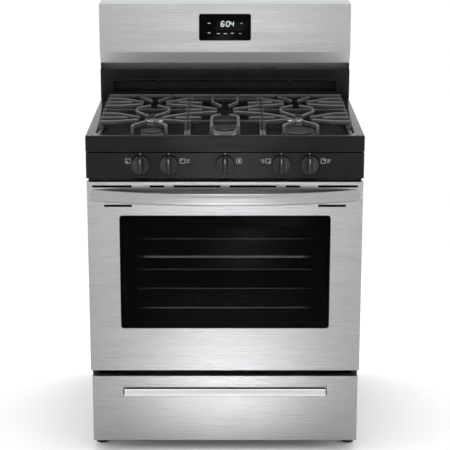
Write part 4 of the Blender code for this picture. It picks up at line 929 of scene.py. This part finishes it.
class GASRANGE_OT_burners(bpy.types.Operator):
    """Burner heads with flame ports, their caps and igniters"""

    bl_idname = "gas_range.burners"
    bl_label = "Burners"

    oval_corner = 0.031
    port_half = 0.0021
    bump_half = 0.0019
    igniter_set = 0.0075        # clear of a round cap's edge
    flange = (                  # beyond the head's radius, above the floor
        (-0.010, -HEAD_SINK),
        (-0.010, 0.0004),
        (0.0018, 0.0004),
        (0.0018, 0.0032),
        (0.0006, 0.0042),
    )

    def execute(self, context):
        for name in BURNERS:
            self.make_round(name)
        self.make_oval()
        return {"FINISHED"}

    def make_igniter(self, name, centre):
        """A ceramic post with a waist and a pin, which stands for a steel one but shares the ceramic
        finish.
        """
        r = IGNITER_RADIUS
        post = [(0, -0.004), (r, -0.004), (r, 0.006), (r * 0.7, 0.0068), (r * 0.7, 0.0105), (0, 0.011)]
        pin = [(0, 0.0105), (0.0008, 0.0105), (0.0008, 0.0135), (0, 0.014)]
        surfaces = [lathe(post, centre, steps=20), lathe(pin, centre, steps=8)]
        piece(name, surfaces, plain("ceramic"), ROOT)

    def make_round(self, name):
        """A turned head whose ring draws in at each flame port, under a turned cap."""
        cap_x, cap_y, cap_z = box(f"burner_cap_{name}")
        radius = (cap_x[1] - cap_x[0]) / 2
        centre = (middle(cap_x), middle(cap_y), FLOOR_LEVEL)
        seat = cap_z[0] - FLOOR_LEVEL - 0.0002
        ring_radius = radius - 0.001
        ports = int(2 * np.pi * radius / PORT_PITCH)
        low, high = 0.0062, seat - 0.0012

        def port(angle, height):
            across = np.clip((np.cos(angle * ports) - 0.1) / 0.35, 0, 1)
            return PORT_DEPTH * across * ((height > low) & (height < high))

        heights = (0.0046, low - 0.0002, low + 0.0003, high - 0.0003, high + 0.0002, seat)
        wall = [(ring_radius, height) for height in heights]
        flange = [(radius + out, height) for out, height in self.flange]
        profile = [(0, -HEAD_SINK), *flange, *wall, (0, seat)]
        head = [lathe(profile, centre, steps=ports * 10, ripple=port)]
        node = f"burner_head_{name}"
        made_of("burner_aluminium", f"{node}_ring", head, ROOT, (node,), 30)

        tall = cap_z[1] - cap_z[0]
        turn = np.linspace(0, np.pi / 2, 7)
        edge = tall * 0.55
        inner, base = radius - edge, tall - 0.0008 - edge
        rim = np.stack([inner + edge * np.cos(turn), base + edge * np.sin(turn)], -1)
        dish = [(radius - 0.010, 0.0006), (radius - 0.0125, 0.0012), (radius * 0.35, 0.0009), (0, 0.0006)]
        dish = [(out, tall - sink) for out, sink in dish]
        cap = [(0, 0), (radius - 0.0012, 0), (radius, 0.0010), *rim.tolist(), *dish]
        centre = (centre[0], centre[1], cap_z[0])
        node = f"burner_cap_{name}"
        made_of("cap_enamel", f"{node}_disc", [lathe(cap, centre, steps=72)], ROOT, (node,))
        side = 1 if centre[0] < 0 else -1
        away = radius + self.igniter_set
        place = (centre[0] + side * away * 0.7, centre[1] + away * 0.72, FLOOR_LEVEL)
        self.make_igniter(f"igniter_{name}", place)

    def make_oval(self):
        """Two half circles joined by straight sides; the ring draws in at each flame port."""
        cap_x, cap_y, cap_z = box("burner_cap_center")
        seat = cap_z[0] - 0.0002

        def level(grow, height):
            return (grown(cap_x, grow), grown(cap_y, grow), self.oval_corner + grow, height)

        low = FLOOR_LEVEL
        head = [level(out, low + height) for out, height in self.flange]
        head += [level(-0.001, low + 0.0048), level(-0.001, seat)]
        surfaces = [stack(head, steps=20)]
        straight = grown(cap_y, -self.oval_corner)
        posts = np.arange(straight[0], straight[1], PORT_PITCH)
        reach = cap_x[1] - 0.0010
        lip = (low + 0.0060, seat - 0.0010)
        for side in (-1, 1):
            for place in posts:
                u = tuple(sorted((side * (reach - 0.0004), side * (reach + 0.0011))))
                surfaces.append(slab(u, span(self.port_half, place), lip, 0.0005, 0.0004, steps=3))
        turn = np.linspace(0, np.pi, 13)
        for end, way in ((straight[1], 1), (straight[0], -1)):
            for t in turn:
                u = span(self.bump_half, reach * math.cos(t))
                v = span(self.bump_half, end + way * reach * math.sin(t))
                surfaces.append(slab(u, v, lip, 0.0018, 0.0004, steps=4))
        made_of("burner_aluminium", "burner_head_center_ring", surfaces, ROOT, ("burner_head_center",), 30)

        top = cap_z[1]
        turn = np.linspace(0, np.pi / 2, 7)
        edge = 0.0036
        cap = [level(-0.0012, cap_z[0]), level(0.0, cap_z[0] + 0.001)]
        cap += [level(-edge * (1 - math.cos(t)), top - 0.0008 - edge * (1 - math.sin(t))) for t in turn]
        cap += [level(-0.0100, top - 0.0006), level(-0.0125, top - 0.0012), level(-0.022, top - 0.0009)]
        plate = [stack(cap, steps=20)]
        made_of("cap_enamel", "burner_cap_center_plate", plate, ROOT, ("burner_cap_center",))
        self.make_igniter("igniter_center", (0.0, cap_y[1] + 0.0085, FLOOR_LEVEL))


# ------------------------------------------------------------------ grates
class GASRANGE_OT_grates(bpy.types.Operator):
    """Three cast grates: a low rail, high fingers, and rubber-tipped feet"""

    bl_idname = "gas_range.grates"
    bl_label = "Grates"

    foot_rubber = 0.004
    pad_half = 0.0045
    leg_corner = 0.003
    nose_length = GRATE_BAR * 0.45

    def execute(self, context):
        self.front = GRATE_Y[0] + GRATE_BAR / 2
        self.back = GRATE_Y[1] - GRATE_BAR / 2
        self.make_side("grate_left", -1)
        self.make_centre()
        self.make_side("grate_right", 1)
        return {"FINISHED"}

    def section(self, tall, width=GRATE_BAR, taper=0.12):
        """A bar's section: a rounded rectangle, narrower at the bottom by its draft."""
        outline = rounded_loop(span(width / 2), span(tall / 2), sizes().grate_edge, 5)
        draft = 1 - taper * (0.5 - outline[:, 1] / tall)
        return outline * np.stack([draft, np.ones(len(outline))], -1)

    def finger(self, path):
        """A high bar that runs along a path and narrows and rounds off at its free end."""
        flat = eased(path, GRATE_BEND, 7)
        path = np.hstack([flat, np.full((len(flat), 1), GRATE_Z[1] - GRATE_BAR_TALL / 2)])
        tip = path[-1] - path[-2]
        length = np.linalg.norm(tip)
        turn = np.linspace(0, 1, 6)[1:] * 0.97
        nose = path[-1] - tip / length * self.nose_length * (1 - turn[:, None])
        base = path[-1] - tip / length * self.nose_length
        path = np.vstack([path[:-1], base, nose])
        scale = np.concatenate([np.ones(len(path) - len(turn)), np.sqrt(1 - turn**2)])
        return sweep(path, self.section(GRATE_BAR_TALL), scale=scale)

    def leg(self, x, y, low, high, half=GRATE_BAR / 2):
        """A square upright with round corners, drawn in a little at its top."""
        u, v = span(half, x), span(half, y)
        stations = [(u, v, self.leg_corner, height) for height in (low, low + 0.006, high - 0.003)]
        stations.append((grown(u, -0.0005), grown(v, -0.0005), self.leg_corner, high))
        return stack(stations, steps=4)

    def make_grate(self, name, left, right, fingers, legs):
        """A low rail on three sides, a high bar at the back, the fingers, legs and feet."""
        inset = GRATE_BAR / 2
        x = (left + inset, right - inset)
        rail_top = GRATE_Z[1] - GRATE_RAIL_DROP
        rail = [(x[0], self.back), (x[0], self.front), (x[1], self.front), (x[1], self.back)]
        flat = eased(rail, GRATE_CORNER, 9)
        path = np.hstack([flat, np.full((len(flat), 1), rail_top - GRATE_BAR_TALL / 2)])
        surfaces = [sweep(path, self.section(GRATE_BAR_TALL))]
        level = GRATE_Z[1] - GRATE_BAR_TALL / 2
        back = [(left, self.back, level), (right, self.back, level)]
        surfaces.append(sweep(back, self.section(GRATE_BAR_TALL)))
        surfaces += [self.finger(path) for path in fingers]
        low = rail_top - GRATE_BAR_TALL + 0.001
        for place in [*legs, (x[0], self.back), (x[1], self.back)]:
            surfaces.append(self.leg(*place, low, GRATE_Z[1] - 0.0008))
        feet = [(u, v) for u in x for v in (self.front + GRATE_CORNER + inset, self.back)]
        base = GRATE_Z[0]
        for place in feet:
            surfaces.append(self.leg(*place, base + self.foot_rubber, low + 0.004, GRATE_FOOT / 2))
        piece(f"{name}_casting", surfaces, cast_iron(), name, (name,), 42)
        tall = (base, base + self.foot_rubber + 0.001)
        half = self.pad_half
        pads = [slab(span(half, u), span(half, v), tall, 0.003, 0.001) for u, v in feet]
        piece(f"{name}_feet", pads, plain("rubber"), name)

    def make_side(self, name, side):
        """Fingers reach in from all four sides towards the front and the rear burner."""
        inset = GRATE_BAR / 2
        outer, inner = GRATE_X[1], GRATE_X[0]
        rails = (outer - inset, inner + inset)
        axis = middle(box("burner_cap_front_right")[0])
        front_burner, rear_burner = FACE_Y + FRONT_BURNER, FACE_Y + REAR_BURNER
        centre = (front_burner + rear_burner) / 2
        fingers = []
        legs = [(rails[0], centre), (rails[1], centre)]
        for burner in (front_burner, rear_burner):
            for root, tip in zip(FINGER_ROOTS, FINGER_TIPS):
                bend = (rails[0] - FINGER_STRAIGHT, burner + root)
                fingers.append([(rails[0], burner + root), bend, (axis + FINGER_TIP_X, burner + tip)])
                fingers.append([(rails[1], burner + root), (axis - FINGER_TIP_X, burner + tip)])
                legs += [(rails[0], burner + root), (rails[1], burner + root)]
            fingers.append([(rails[0], burner), (axis + SHORT_TIP_X, burner)])
            fingers.append([(rails[1], burner), (axis - SHORT_TIP_X, burner)])
            legs += [(rails[0], burner), (rails[1], burner)]
        forks = (
            (self.front, front_burner + FORK_TIPS[0], 1),
            (centre, front_burner + FORK_TIPS[1], -1),
            (centre, rear_burner + FORK_TIPS[0], 1),
            (self.back, rear_burner + FORK_TIPS[1], -1),
        )
        for root, tip, way in forks:
            for hand in (-1, 1):
                x = axis + hand * FORK_SPREAD
                bend = (x, root + way * FORK_STRAIGHT)
                fingers.append([(x, root), bend, (axis + hand * FORK_TIP_X, tip)])
                if root == self.front:
                    legs.append((x, root))
        turned = np.array([side, 1.0])
        fingers = [np.array(path) * turned for path in fingers]
        cross = np.array([(side * rails[0], centre), (side * rails[1], centre)])
        fingers += [cross, cross[::-1]]
        left, right = sorted((side * outer, side * inner))
        self.make_grate(name, left, right, fingers, [(side * x, y) for x, y in legs])

    def make_centre(self):
        """Two lengthwise bars close in on the oval burner, tied by cross bars and fingers."""
        half = CENTRE_GRATE_X[1]
        rail = half - GRATE_BAR / 2
        centre = FACE_Y + (FRONT_BURNER + REAR_BURNER) / 2
        fingers, legs = [], []
        for way, root, index in ((-1, self.front, 0), (1, self.back, 1)):
            bend = centre + way * CENTRE_BENDS[index]
            tip = centre + way * CENTRE_TIPS[index]
            cross = centre + way * CENTRE_CROSS[index]
            short = centre + way * CENTRE_FINGER_ROOTS[index]
            short_tip = centre + way * CENTRE_FINGER_TIPS[index]
            fingers += [[(-rail, cross), (rail, cross)], [(rail, cross), (-rail, cross)]]
            for hand in (-1, 1):
                x = hand * CENTRE_BARS_X
                fingers.append([(x, root), (x, bend), (hand * CENTRE_TIP_X, tip)])
                fingers.append([(hand * rail, short), (hand * CENTRE_FINGER_X, short_tip)])
                legs += [(hand * rail, cross), (hand * rail, short)]
                if root == self.front:
                    legs.append((x, root))
        for offset in CENTRE_SHORTS:
            for hand in (-1, 1):
                fingers.append([(hand * rail, centre + offset), (hand * SHORT_TIP_X, centre + offset)])
                legs.append((hand * rail, centre + offset))
        self.make_grate("grate_center", -half, half, fingers, legs)


# ------------------------------------------------------------------ controls
def mark(place, halves, corner, level, steps):
    """A thin printed patch, half as wide and half as tall as its halves, on an upright face."""
    u, v = span(halves[0], place[0]), span(halves[1], place[1])
    return slab(u, v, level, corner, SKIN / 3, "XZ", steps)


class GASRANGE_OT_controls(bpy.types.Operator):
    """Control panel, its printed marks, the knobs and their stems"""

    bl_idname = "gas_range.controls"
    bl_label = "Controls"

    # knob, the icon's offset from it, and the burner's place in the icon
    icons = (
        (1, -0.034, (-1, -1)),
        (2, 0.037, (-1, 1)),
        (3, 0.038, (0, 0)),
        (4, -0.035, (1, -1)),
        (5, 0.037, (1, 1)),
    )
    dashed = (2, 4, 5)
    panel_fold = 0.0022
    hub = 0.006

    def execute(self, context):
        pressed("control_panel", enamel(), ROOT, self.panel_fold, 4)
        for node in KNOBS:
            self.make_knob(node)
            self.make_stem(node.replace("knob", "valve_stem"))
        self.make_marks()
        return {"FINISHED"}

    def make_knob(self, node):
        """A dished skirt turned about the stem, and a bar grip whose outline draws in towards
        its rounded top."""
        x, y, z = box(node)
        radius = (x[1] - x[0]) / 2
        back, front = y[1], y[0]
        tall = back - front
        centre = (middle(x), back, middle(z))
        turn = np.linspace(0, np.pi / 2, 6)
        lip = 0.0022
        edge = np.stack([radius - lip + lip * np.cos(turn), KNOB_SKIRT - lip + lip * np.sin(turn)], -1)
        skirt = [(self.hub, 0.0), (radius - 0.0008, 0.0), (radius - 0.0004, 0.0008), *edge.tolist()]
        dish = KNOB_SKIRT - 0.0014
        skirt += [(radius - 0.005, KNOB_SKIRT - 0.0006), (self.hub, dish), (0, dish)]
        surfaces = [lathe([(0, 0.0), *skirt], centre, "Y", 72)]
        half, reach = GRIP_WIDTH / 2, radius - 0.0012
        rise = np.array([0.0, 0.25, 0.5, 0.75, 0.88, 0.95, 0.985, 1.0])
        draw = 0.0012 * rise + 0.0026 * np.clip((rise - 0.75) / 0.25, 0, 1) ** 2.4
        start = KNOB_SKIRT - 0.002
        stations = []
        for up, inset in zip(rise, draw):
            u = (centre[0] - half + inset, centre[0] + half - inset)
            v = (centre[2] - reach + inset * 1.3, centre[2] + reach - inset * 1.3)
            stations.append((u, v, 0.0052 - inset * 0.5, back - start - (tall - start) * up))
        surfaces.append(stack(stations, "XZ"))
        made_of("knob_plastic", f"{node}_grip", surfaces, node, (node,), 30)
        width, long = POINTER
        top = centre[2] + reach - 0.0052
        u = (centre[0] - width / 2, centre[0] + width / 2)
        line = slab(u, (top - long, top), (front - SKIN / 2, front + SKIN), 0.0009, SKIN / 3, "XZ", 4)
        piece(f"{node}_pointer", [line], plain("grey_ink"), node)

    def make_stem(self, node):
        """A turned shaft with a chamfered end."""
        x, y, z = box(node)
        radius = (x[1] - x[0]) / 2
        tall = y[1] - y[0]
        profile = [(0, 0), (radius, 0), (radius, tall - 0.0008), (radius - 0.0008, tall), (0, tall)]
        shaft = [lathe(profile, (middle(x), y[1], middle(z)), "Y", 28)]
        made_of("stem_steel", f"{node}_shaft", shaft, node, (node,))

    def make_marks(self):
        """A dot over each knob and, beside it, a square with the place of its burner."""
        level = (PANEL_Y[0] - SKIN, PANEL_Y[0] + SKIN)
        for number, offset, place in self.icons:
            x, y, z = box(f"knob_{number}")
            centre = (middle(x), middle(z))
            spot = (centre[0], centre[1] + INDEX_RISE + 0.0032)
            dot = mark(spot, (0.0016, 0.0016), 0.0016, level, 5)
            u, v = centre[0] + offset, centre[1] + ICON_RISE
            half = ICON_SIZE / 2
            outer = (span(half, u), span(half, v), 0.0012)
            inner = (span(half - ICON_LINE, u), span(half - ICON_LINE, v), 0.0004)
            marks = [ring(outer, inner, level)]
            shift = half - ICON_LINE - ICON_DOT / 2 - 0.0008
            spot = (u + place[0] * shift, v + place[1] * shift)
            size = ICON_DOT / 2 if number != 3 else ICON_DOT / 2.4
            tall = size if number != 3 else size * 2.4
            marks.append(mark(spot, (size, tall), size * 0.98, level, 5))
            piece(f"index_dot_{number}", [dot], plain("white_ink"), ROOT)
            piece(f"burner_icon_{number}", marks, plain("grey_ink"), ROOT)
            way = 1 if offset > 0 else -1
            dashes = []
            for row, reach in ((0.0028, 0.0105), (-0.0032, 0.0085)):
                start = u + way * (half + 0.003)
                ends = tuple(sorted((start, start + way * reach)))
                if number in self.dashed:
                    dashes.append(slab(ends, span(0.0009, v + row), level, 0.0005, SKIN / 3, "XZ", 3))
            if dashes:
                piece(f"icon_dashes_{number}", dashes, plain("grey_ink"), ROOT)


# ------------------------------------------------------------------ backguard
class GASRANGE_OT_backguard(bpy.types.Operator):
    """Backguard, vent, housing, clock glass and its lit marks"""

    bl_idname = "gas_range.backguard"
    bl_label = "Backguard"

    def execute(self, context):
        self.make_face()
        pressed("backguard_vent_panel", enamel(), ROOT, 0.0012)
        pressed("backguard_housing", galvanised(), ROOT, sizes().fold)
        pressed("display_board", circuit_board(), ROOT, sizes().edge)
        self.make_duct()
        self.make_vent_lip()
        self.make_glass()
        self.make_clock()
        return {"FINISHED"}

    def make_face(self):
        """The pressed face; its facet under the fold has a satin finish, painted paler as a lit copy of the
        steel.
        """
        steel = stainless()
        face = pressed("backguard_face", steel, ROOT, sizes().fold, 4, 25)
        # the facet's steel is made 2.1 times paler: painted light on a face turned down towards the dark
        # deck
        face.data.materials.append(stainless("satin_stainless_painted_light", 0.05, (0.45, 0.55), 0.35, 2.1))
        for polygon in face.data.polygons:
            if polygon.normal.z < -0.3 and polygon.normal.y < -0.5:
                polygon.material_index = 1

    def make_duct(self):
        """A dark channel behind the vent: a rectangular tube, closed at its back."""
        x, y, z = box("backguard_vent_panel")
        rows = (z[0] + 0.018, z[0] + 0.060)
        front, back = y[1] + 0.0004, box("backguard_housing")[1][1] - 0.004
        outer = (span(0.345), grown(rows, 0.003), 0.004)
        inner = (span(0.343), grown(rows, 0.001), 0.003)
        stations = [(*outer, back), (*outer, front), (*inner, front), (*inner, back - 0.001)]
        piece("vent_duct", [stack(stations, "XZ")], body_paint(), ROOT)

    def make_vent_lip(self):
        """A hood over the vent: its lower edge rises towards the middle as 1 - (x/half)^4, and
        its section is a quarter round."""
        x, y, z = box("backguard_vent_panel")
        half, low, high = 0.336, z[0] + 0.0535, z[0] + 0.0600
        along = np.linspace(-1, 1, 61)
        arch = 0.0035 * (1 - along**4)
        turn = np.linspace(0, np.pi, 9)
        swell = 0.0036
        depth = y[0] + 0.0006 - swell * np.sin(turn)[None, :] * np.ones((61, 1))
        rise = (low + arch)[:, None] + (high - low) * (1 - np.cos(turn))[None, :] / 2
        points = np.stack([np.repeat(along[:, None] * half, 9, 1), depth, rise], -1)
        piece("vent_hood", [skin(points)], enamel(), ROOT)
        tabs = []
        for place in (-0.204, -0.003, 0.196):
            tall, deep = (low - 0.004, low + 0.006), (y[0] - 0.004, y[0] + 0.0006)
            tabs.append(slab(span(0.006, place), tall, deep, 0.002, 0.0008, "XZ", 4))
        piece("vent_tabs", tabs, enamel(), ROOT)

    def make_glass(self):
        edge = sizes().glass_edge
        glass = slab(DISPLAY_X, DISPLAY_Z, DISPLAY_Y, 0.006, edge, "XZ", 9)
        piece("display_glass_pane", [glass], black_glass(), ROOT, ("display_glass",))

    def bar(self, a, b, width, level):
        """A lit segment: a hexagon from a to b, leaning over with height."""
        a, b = np.asarray(a, float), np.asarray(b, float)
        along = (b - a) / np.linalg.norm(b - a)
        across = np.array([-along[1], along[0]]) * width / 2
        tip = along * width / 2
        outline = np.array([a, a + tip + across, b - tip + across, b, b - tip - across, a + tip - across])
        outline[:, 0] += (outline[:, 1] - middle(DISPLAY_Z)) * DIGIT_SLANT
        return skin(np.array([placed(outline, depth, "XZ") for depth in level]))

    def make_digit(self, sign, corner, level):
        """The seven segments a to g of a digit, drawn where the sign has them."""
        width, tall = DIGIT
        x, z = corner
        left, right = x, x + width
        low, mid, high = z, z + tall / 2, z + tall
        places = {
            "a": ((left, high), (right, high)),
            "b": ((right, high), (right, mid)),
            "c": ((right, mid), (right, low)),
            "d": ((left, low), (right, low)),
            "e": ((left, mid), (left, low)),
            "f": ((left, high), (left, mid)),
            "g": ((left, mid), (right, mid)),
        }
        gap = DIGIT_LINE * 0.25
        bars = []
        for segment in SEGMENTS[sign]:
            a, b = map(np.asarray, places[segment])
            step = (b - a) / np.linalg.norm(b - a) * gap
            bars.append(self.bar(a + step, b - step, DIGIT_LINE, level))
        return bars

    def make_clock(self):
        """Three digits and a colon, two arrows and four small key marks."""
        level = (DISPLAY_Y[0] - SKIN, DISPLAY_Y[0] + SKIN)
        bright = lit("lit_digits", colours().display, 0.6)
        dim = lit("lit_marks", toned(colours().display, 0.55), 0.35)
        middle_z = DISPLAY_Z[1] - 0.0300
        surfaces = []
        for sign, x in (("6", -0.0125), ("0", 0.0035), ("4", 0.0155)):
            surfaces += self.make_digit(sign, (x, middle_z - DIGIT[1] / 2), level)
        for rise in (-0.0032, 0.0032):
            surfaces.append(mark((-0.0003, middle_z + rise), (0.0009, 0.0009), 0.0004, level, 3))
        piece("clock_digits", surfaces, bright, ROOT)
        marks = []
        for x, z in ((-0.048, 0.028), (-0.048, 0.057), (-0.020, 0.059), (0.001, 0.059), (0.022, 0.058)):
            marks.append(mark((x, DISPLAY_Z[1] - z), (0.0042, 0.0011), 0.0005, level, 3))
        for z, way in ((0.028, 1), (0.059, -1)):
            place = DISPLAY_Z[1] - z
            tip = (0.048, place + 0.0018 * way)
            for side in (-1, 1):
                foot = (tip[0] + side * 0.0036, place - 0.0018 * way)
                ends = (foot, tip) if side < 0 else (tip, foot)
                marks.append(self.bar(*ends, 0.0010, level))
        piece("clock_marks", marks, dim, ROOT)


# ------------------------------------------------------------------ door
class GASRANGE_OT_door(bpy.types.Operator):
    """Door skins, window, handle and hinges"""

    bl_idname = "gas_range.door"
    bl_label = "Oven door"

    glass_corner = 0.008
    glass_thick = 0.0022
    inner_fold = 0.003
    strap_thick = 0.0118
    strap_steps = 121
    strap_sides = 36

    def execute(self, context):
        pressed("door_outer_panel", stainless(), "door", sizes().fold, 4)
        pressed("door_inner_panel", oven_enamel(), "door", self.inner_fold, 4)
        for side in ("left", "right"):
            pressed(f"door_hinge_{side}", galvanised(), "door", sizes().edge)
        self.make_window()
        self.make_handle()
        return {"FINISHED"}

    def make_window(self):
        """Tinted outer glass over a black border, and a clear inner glass."""
        edge = sizes().glass_edge
        corner = self.glass_corner
        split = WINDOW_Y[0] + self.glass_thick
        outer = slab(WINDOW_X, WINDOW_Z, (WINDOW_Y[0], split), corner, edge * 0.6, "XZ", 9)
        tinted_glass = pane("window_glass", (0.001, 0.001, 0.0012), 0.55)
        piece("window_pane", [outer], tinted_glass, "door", ("door_window_glass",))
        hole_x = grown(WINDOW_X, -FRIT)
        hole_z = (WINDOW_Z[0] + FRIT * 0.72, WINDOW_Z[1] - FRIT_TOP)
        border = ring((WINDOW_X, WINDOW_Z, corner), (hole_x, hole_z, 0.006), (split + 0.0001, WINDOW_Y[1]))
        piece("window_border", [border], black_glass(), "door")
        x, y, z = box("door_inner_glass")
        inner = slab(x, z, y, corner, edge, "XZ", 9)
        clear_glass = pane("clear_glass_pane", (0.02, 0.02, 0.021), 0.12)
        piece("inner_window_pane", [inner], clear_glass, "door", ("door_inner_glass",))

    def make_handle(self):
        """A strap bowed forward as reach times 1 - |x/half|^n, crowned on its face, and rounded
        in height to half circles at both ends."""
        half = HANDLE_X[1]
        reach = FACE_Y - HANDLE_Y[0]
        middle_z = middle(HANDLE_Z)
        tall = (HANDLE_Z[1] - HANDLE_Z[0]) / 2
        along = np.sin(np.linspace(-np.pi / 2, np.pi / 2, self.strap_steps))
        x = along * half
        front = FACE_Y - 0.0015 - (reach - 0.0015) * (1 - np.abs(along) ** HANDLE_BOW)
        back = np.minimum(front + self.strap_thick, FACE_Y + 0.0002)
        from_end = half - np.abs(x)
        rounding = np.sqrt(np.clip(1 - (1 - np.clip(from_end / tall, 0, 1)) ** 2, 0.004, 1))
        turn = np.linspace(0, 2 * np.pi, self.strap_sides + 1)[:-1]
        across = np.sign(np.sin(turn)) * np.abs(np.sin(turn)) ** 0.55
        through = np.sign(np.cos(turn)) * np.abs(np.cos(turn)) ** 0.75
        z = middle_z + tall * rounding[:, None] * across[None, :]
        crown = HANDLE_CROWN * (1 - across**2)[None, :] * (through > 0)[None, :] * (rounding[:, None])
        centre = ((front + HANDLE_CROWN + back) / 2)[:, None]
        deep = ((back - front - HANDLE_CROWN) / 2)[:, None]
        y = centre - deep * through[None, :] - crown
        y = np.maximum(y, HANDLE_Y[0])
        points = np.stack([np.repeat(x[:, None], self.strap_sides, 1), y, z], -1)
        # the handle's steel is painted 1.15 times paler than the door's: painted light on the strap
        steel = stainless("handle_stainless", 0.04, (0.30, 0.38), 1.0, 1.15)
        piece("door_handle_strap", [skin(points)], steel, "door", ("door_handle",), 50)


# ------------------------------------------------------------------ drawer
class GASRANGE_OT_drawer(bpy.types.Operator):
    """Drawer front with its recessed pull, and the pan behind it"""

    bl_idname = "gas_range.drawer"
    bl_label = "Drawer"

    lip_tall = 0.0165
    lip_lean = 0.011
    lip_sheet = (0.0016, 0.0006)

    def execute(self, context):
        pressed("drawer_front", stainless(), "drawer", sizes().fold, 4)
        pressed("drawer_pan", galvanised(), "drawer", sizes().fold)
        self.make_scoop()
        return {"FINISHED"}

    def make_scoop(self):
        """A lip inside the pull: it starts level with the face at the bottom and leans back by
        sin(t)^2 as it rises, with its ends drawn in a little."""
        low = DRAWER_Z[0] + PULL_RISE[0] + 0.0006
        half = PULL_HALF - 0.003
        high = low + self.lip_tall
        turn = np.linspace(0, 1, 11)
        depth = FACE_Y + 0.0004 + self.lip_lean * np.sin(turn * np.pi / 2) ** 2
        front = np.stack([depth, low + (high - low) * turn], -1)
        back = front[::-1] + np.array(self.lip_sheet)
        outline = np.vstack([front, back])
        ends = np.array([-half, -half + 0.0015, half - 0.0015, half])
        inset = np.array([0.0012, 0.0, 0.0, 0.0012])
        centre = outline.mean(0)
        loops = []
        for x, draw in zip(ends, inset):
            shape = centre + (outline - centre) * (1 - draw / 0.012)
            loops.append(np.hstack([np.full((len(shape), 1), x), shape]))
        # the lip's steel is painted 2.2 times paler than the drawer front: a painted highlight inside the
        # pull
        steel = stainless("pull_stainless_painted_highlight", 0.03, (0.30, 0.38), 1.0, 2.2)
        lip = [skin(np.array(loops))]
        piece("drawer_pull_scoop", lip, steel, "drawer", (), 30)


# ------------------------------------------------------------------ add-on
OPERATORS = (
    GASRANGE_OT_stage,
    GASRANGE_OT_chassis,
    GASRANGE_OT_oven,
    GASRANGE_OT_racks,
    GASRANGE_OT_deck,
    GASRANGE_OT_burners,
    GASRANGE_OT_grates,
    GASRANGE_OT_controls,
    GASRANGE_OT_backguard,
    GASRANGE_OT_door,
    GASRANGE_OT_drawer,
)


class GASRANGE_PT_sidebar(bpy.types.Panel):
    """Lists the finishes and the operators"""

    bl_idname = "GASRANGE_PT_sidebar"
    bl_label = "Gas Range"
    bl_space_type = "VIEW_3D"
    bl_region_type = "UI"
    bl_category = "Gas Range"

    def draw(self, context):
        for group in (context.scene.range_colours, context.scene.range_sizes):
            column = self.layout.column(align=True)
            for name in group.__annotations__:
                column.prop(group, name)
        for operator in OPERATORS:
            self.layout.operator(operator.bl_idname)


CLASSES = (RangeColours, RangeSizes, *OPERATORS, GASRANGE_PT_sidebar)


def register():
    for cls in CLASSES:
        bpy.utils.register_class(cls)
    bpy.types.Scene.range_colours = PointerProperty(type=RangeColours)
    bpy.types.Scene.range_sizes = PointerProperty(type=RangeSizes)


def unregister():
    del bpy.types.Scene.range_sizes
    del bpy.types.Scene.range_colours
    for cls in reversed(CLASSES):
        bpy.utils.unregister_class(cls)


def main():
    """Makes every group in order."""
    register()
    for operator in OPERATORS:
        group, name = operator.bl_idname.split(".")
        getattr(getattr(bpy.ops, group), name)()
    bpy.context.view_layer.update()


if __name__ == "__main__":
    main()
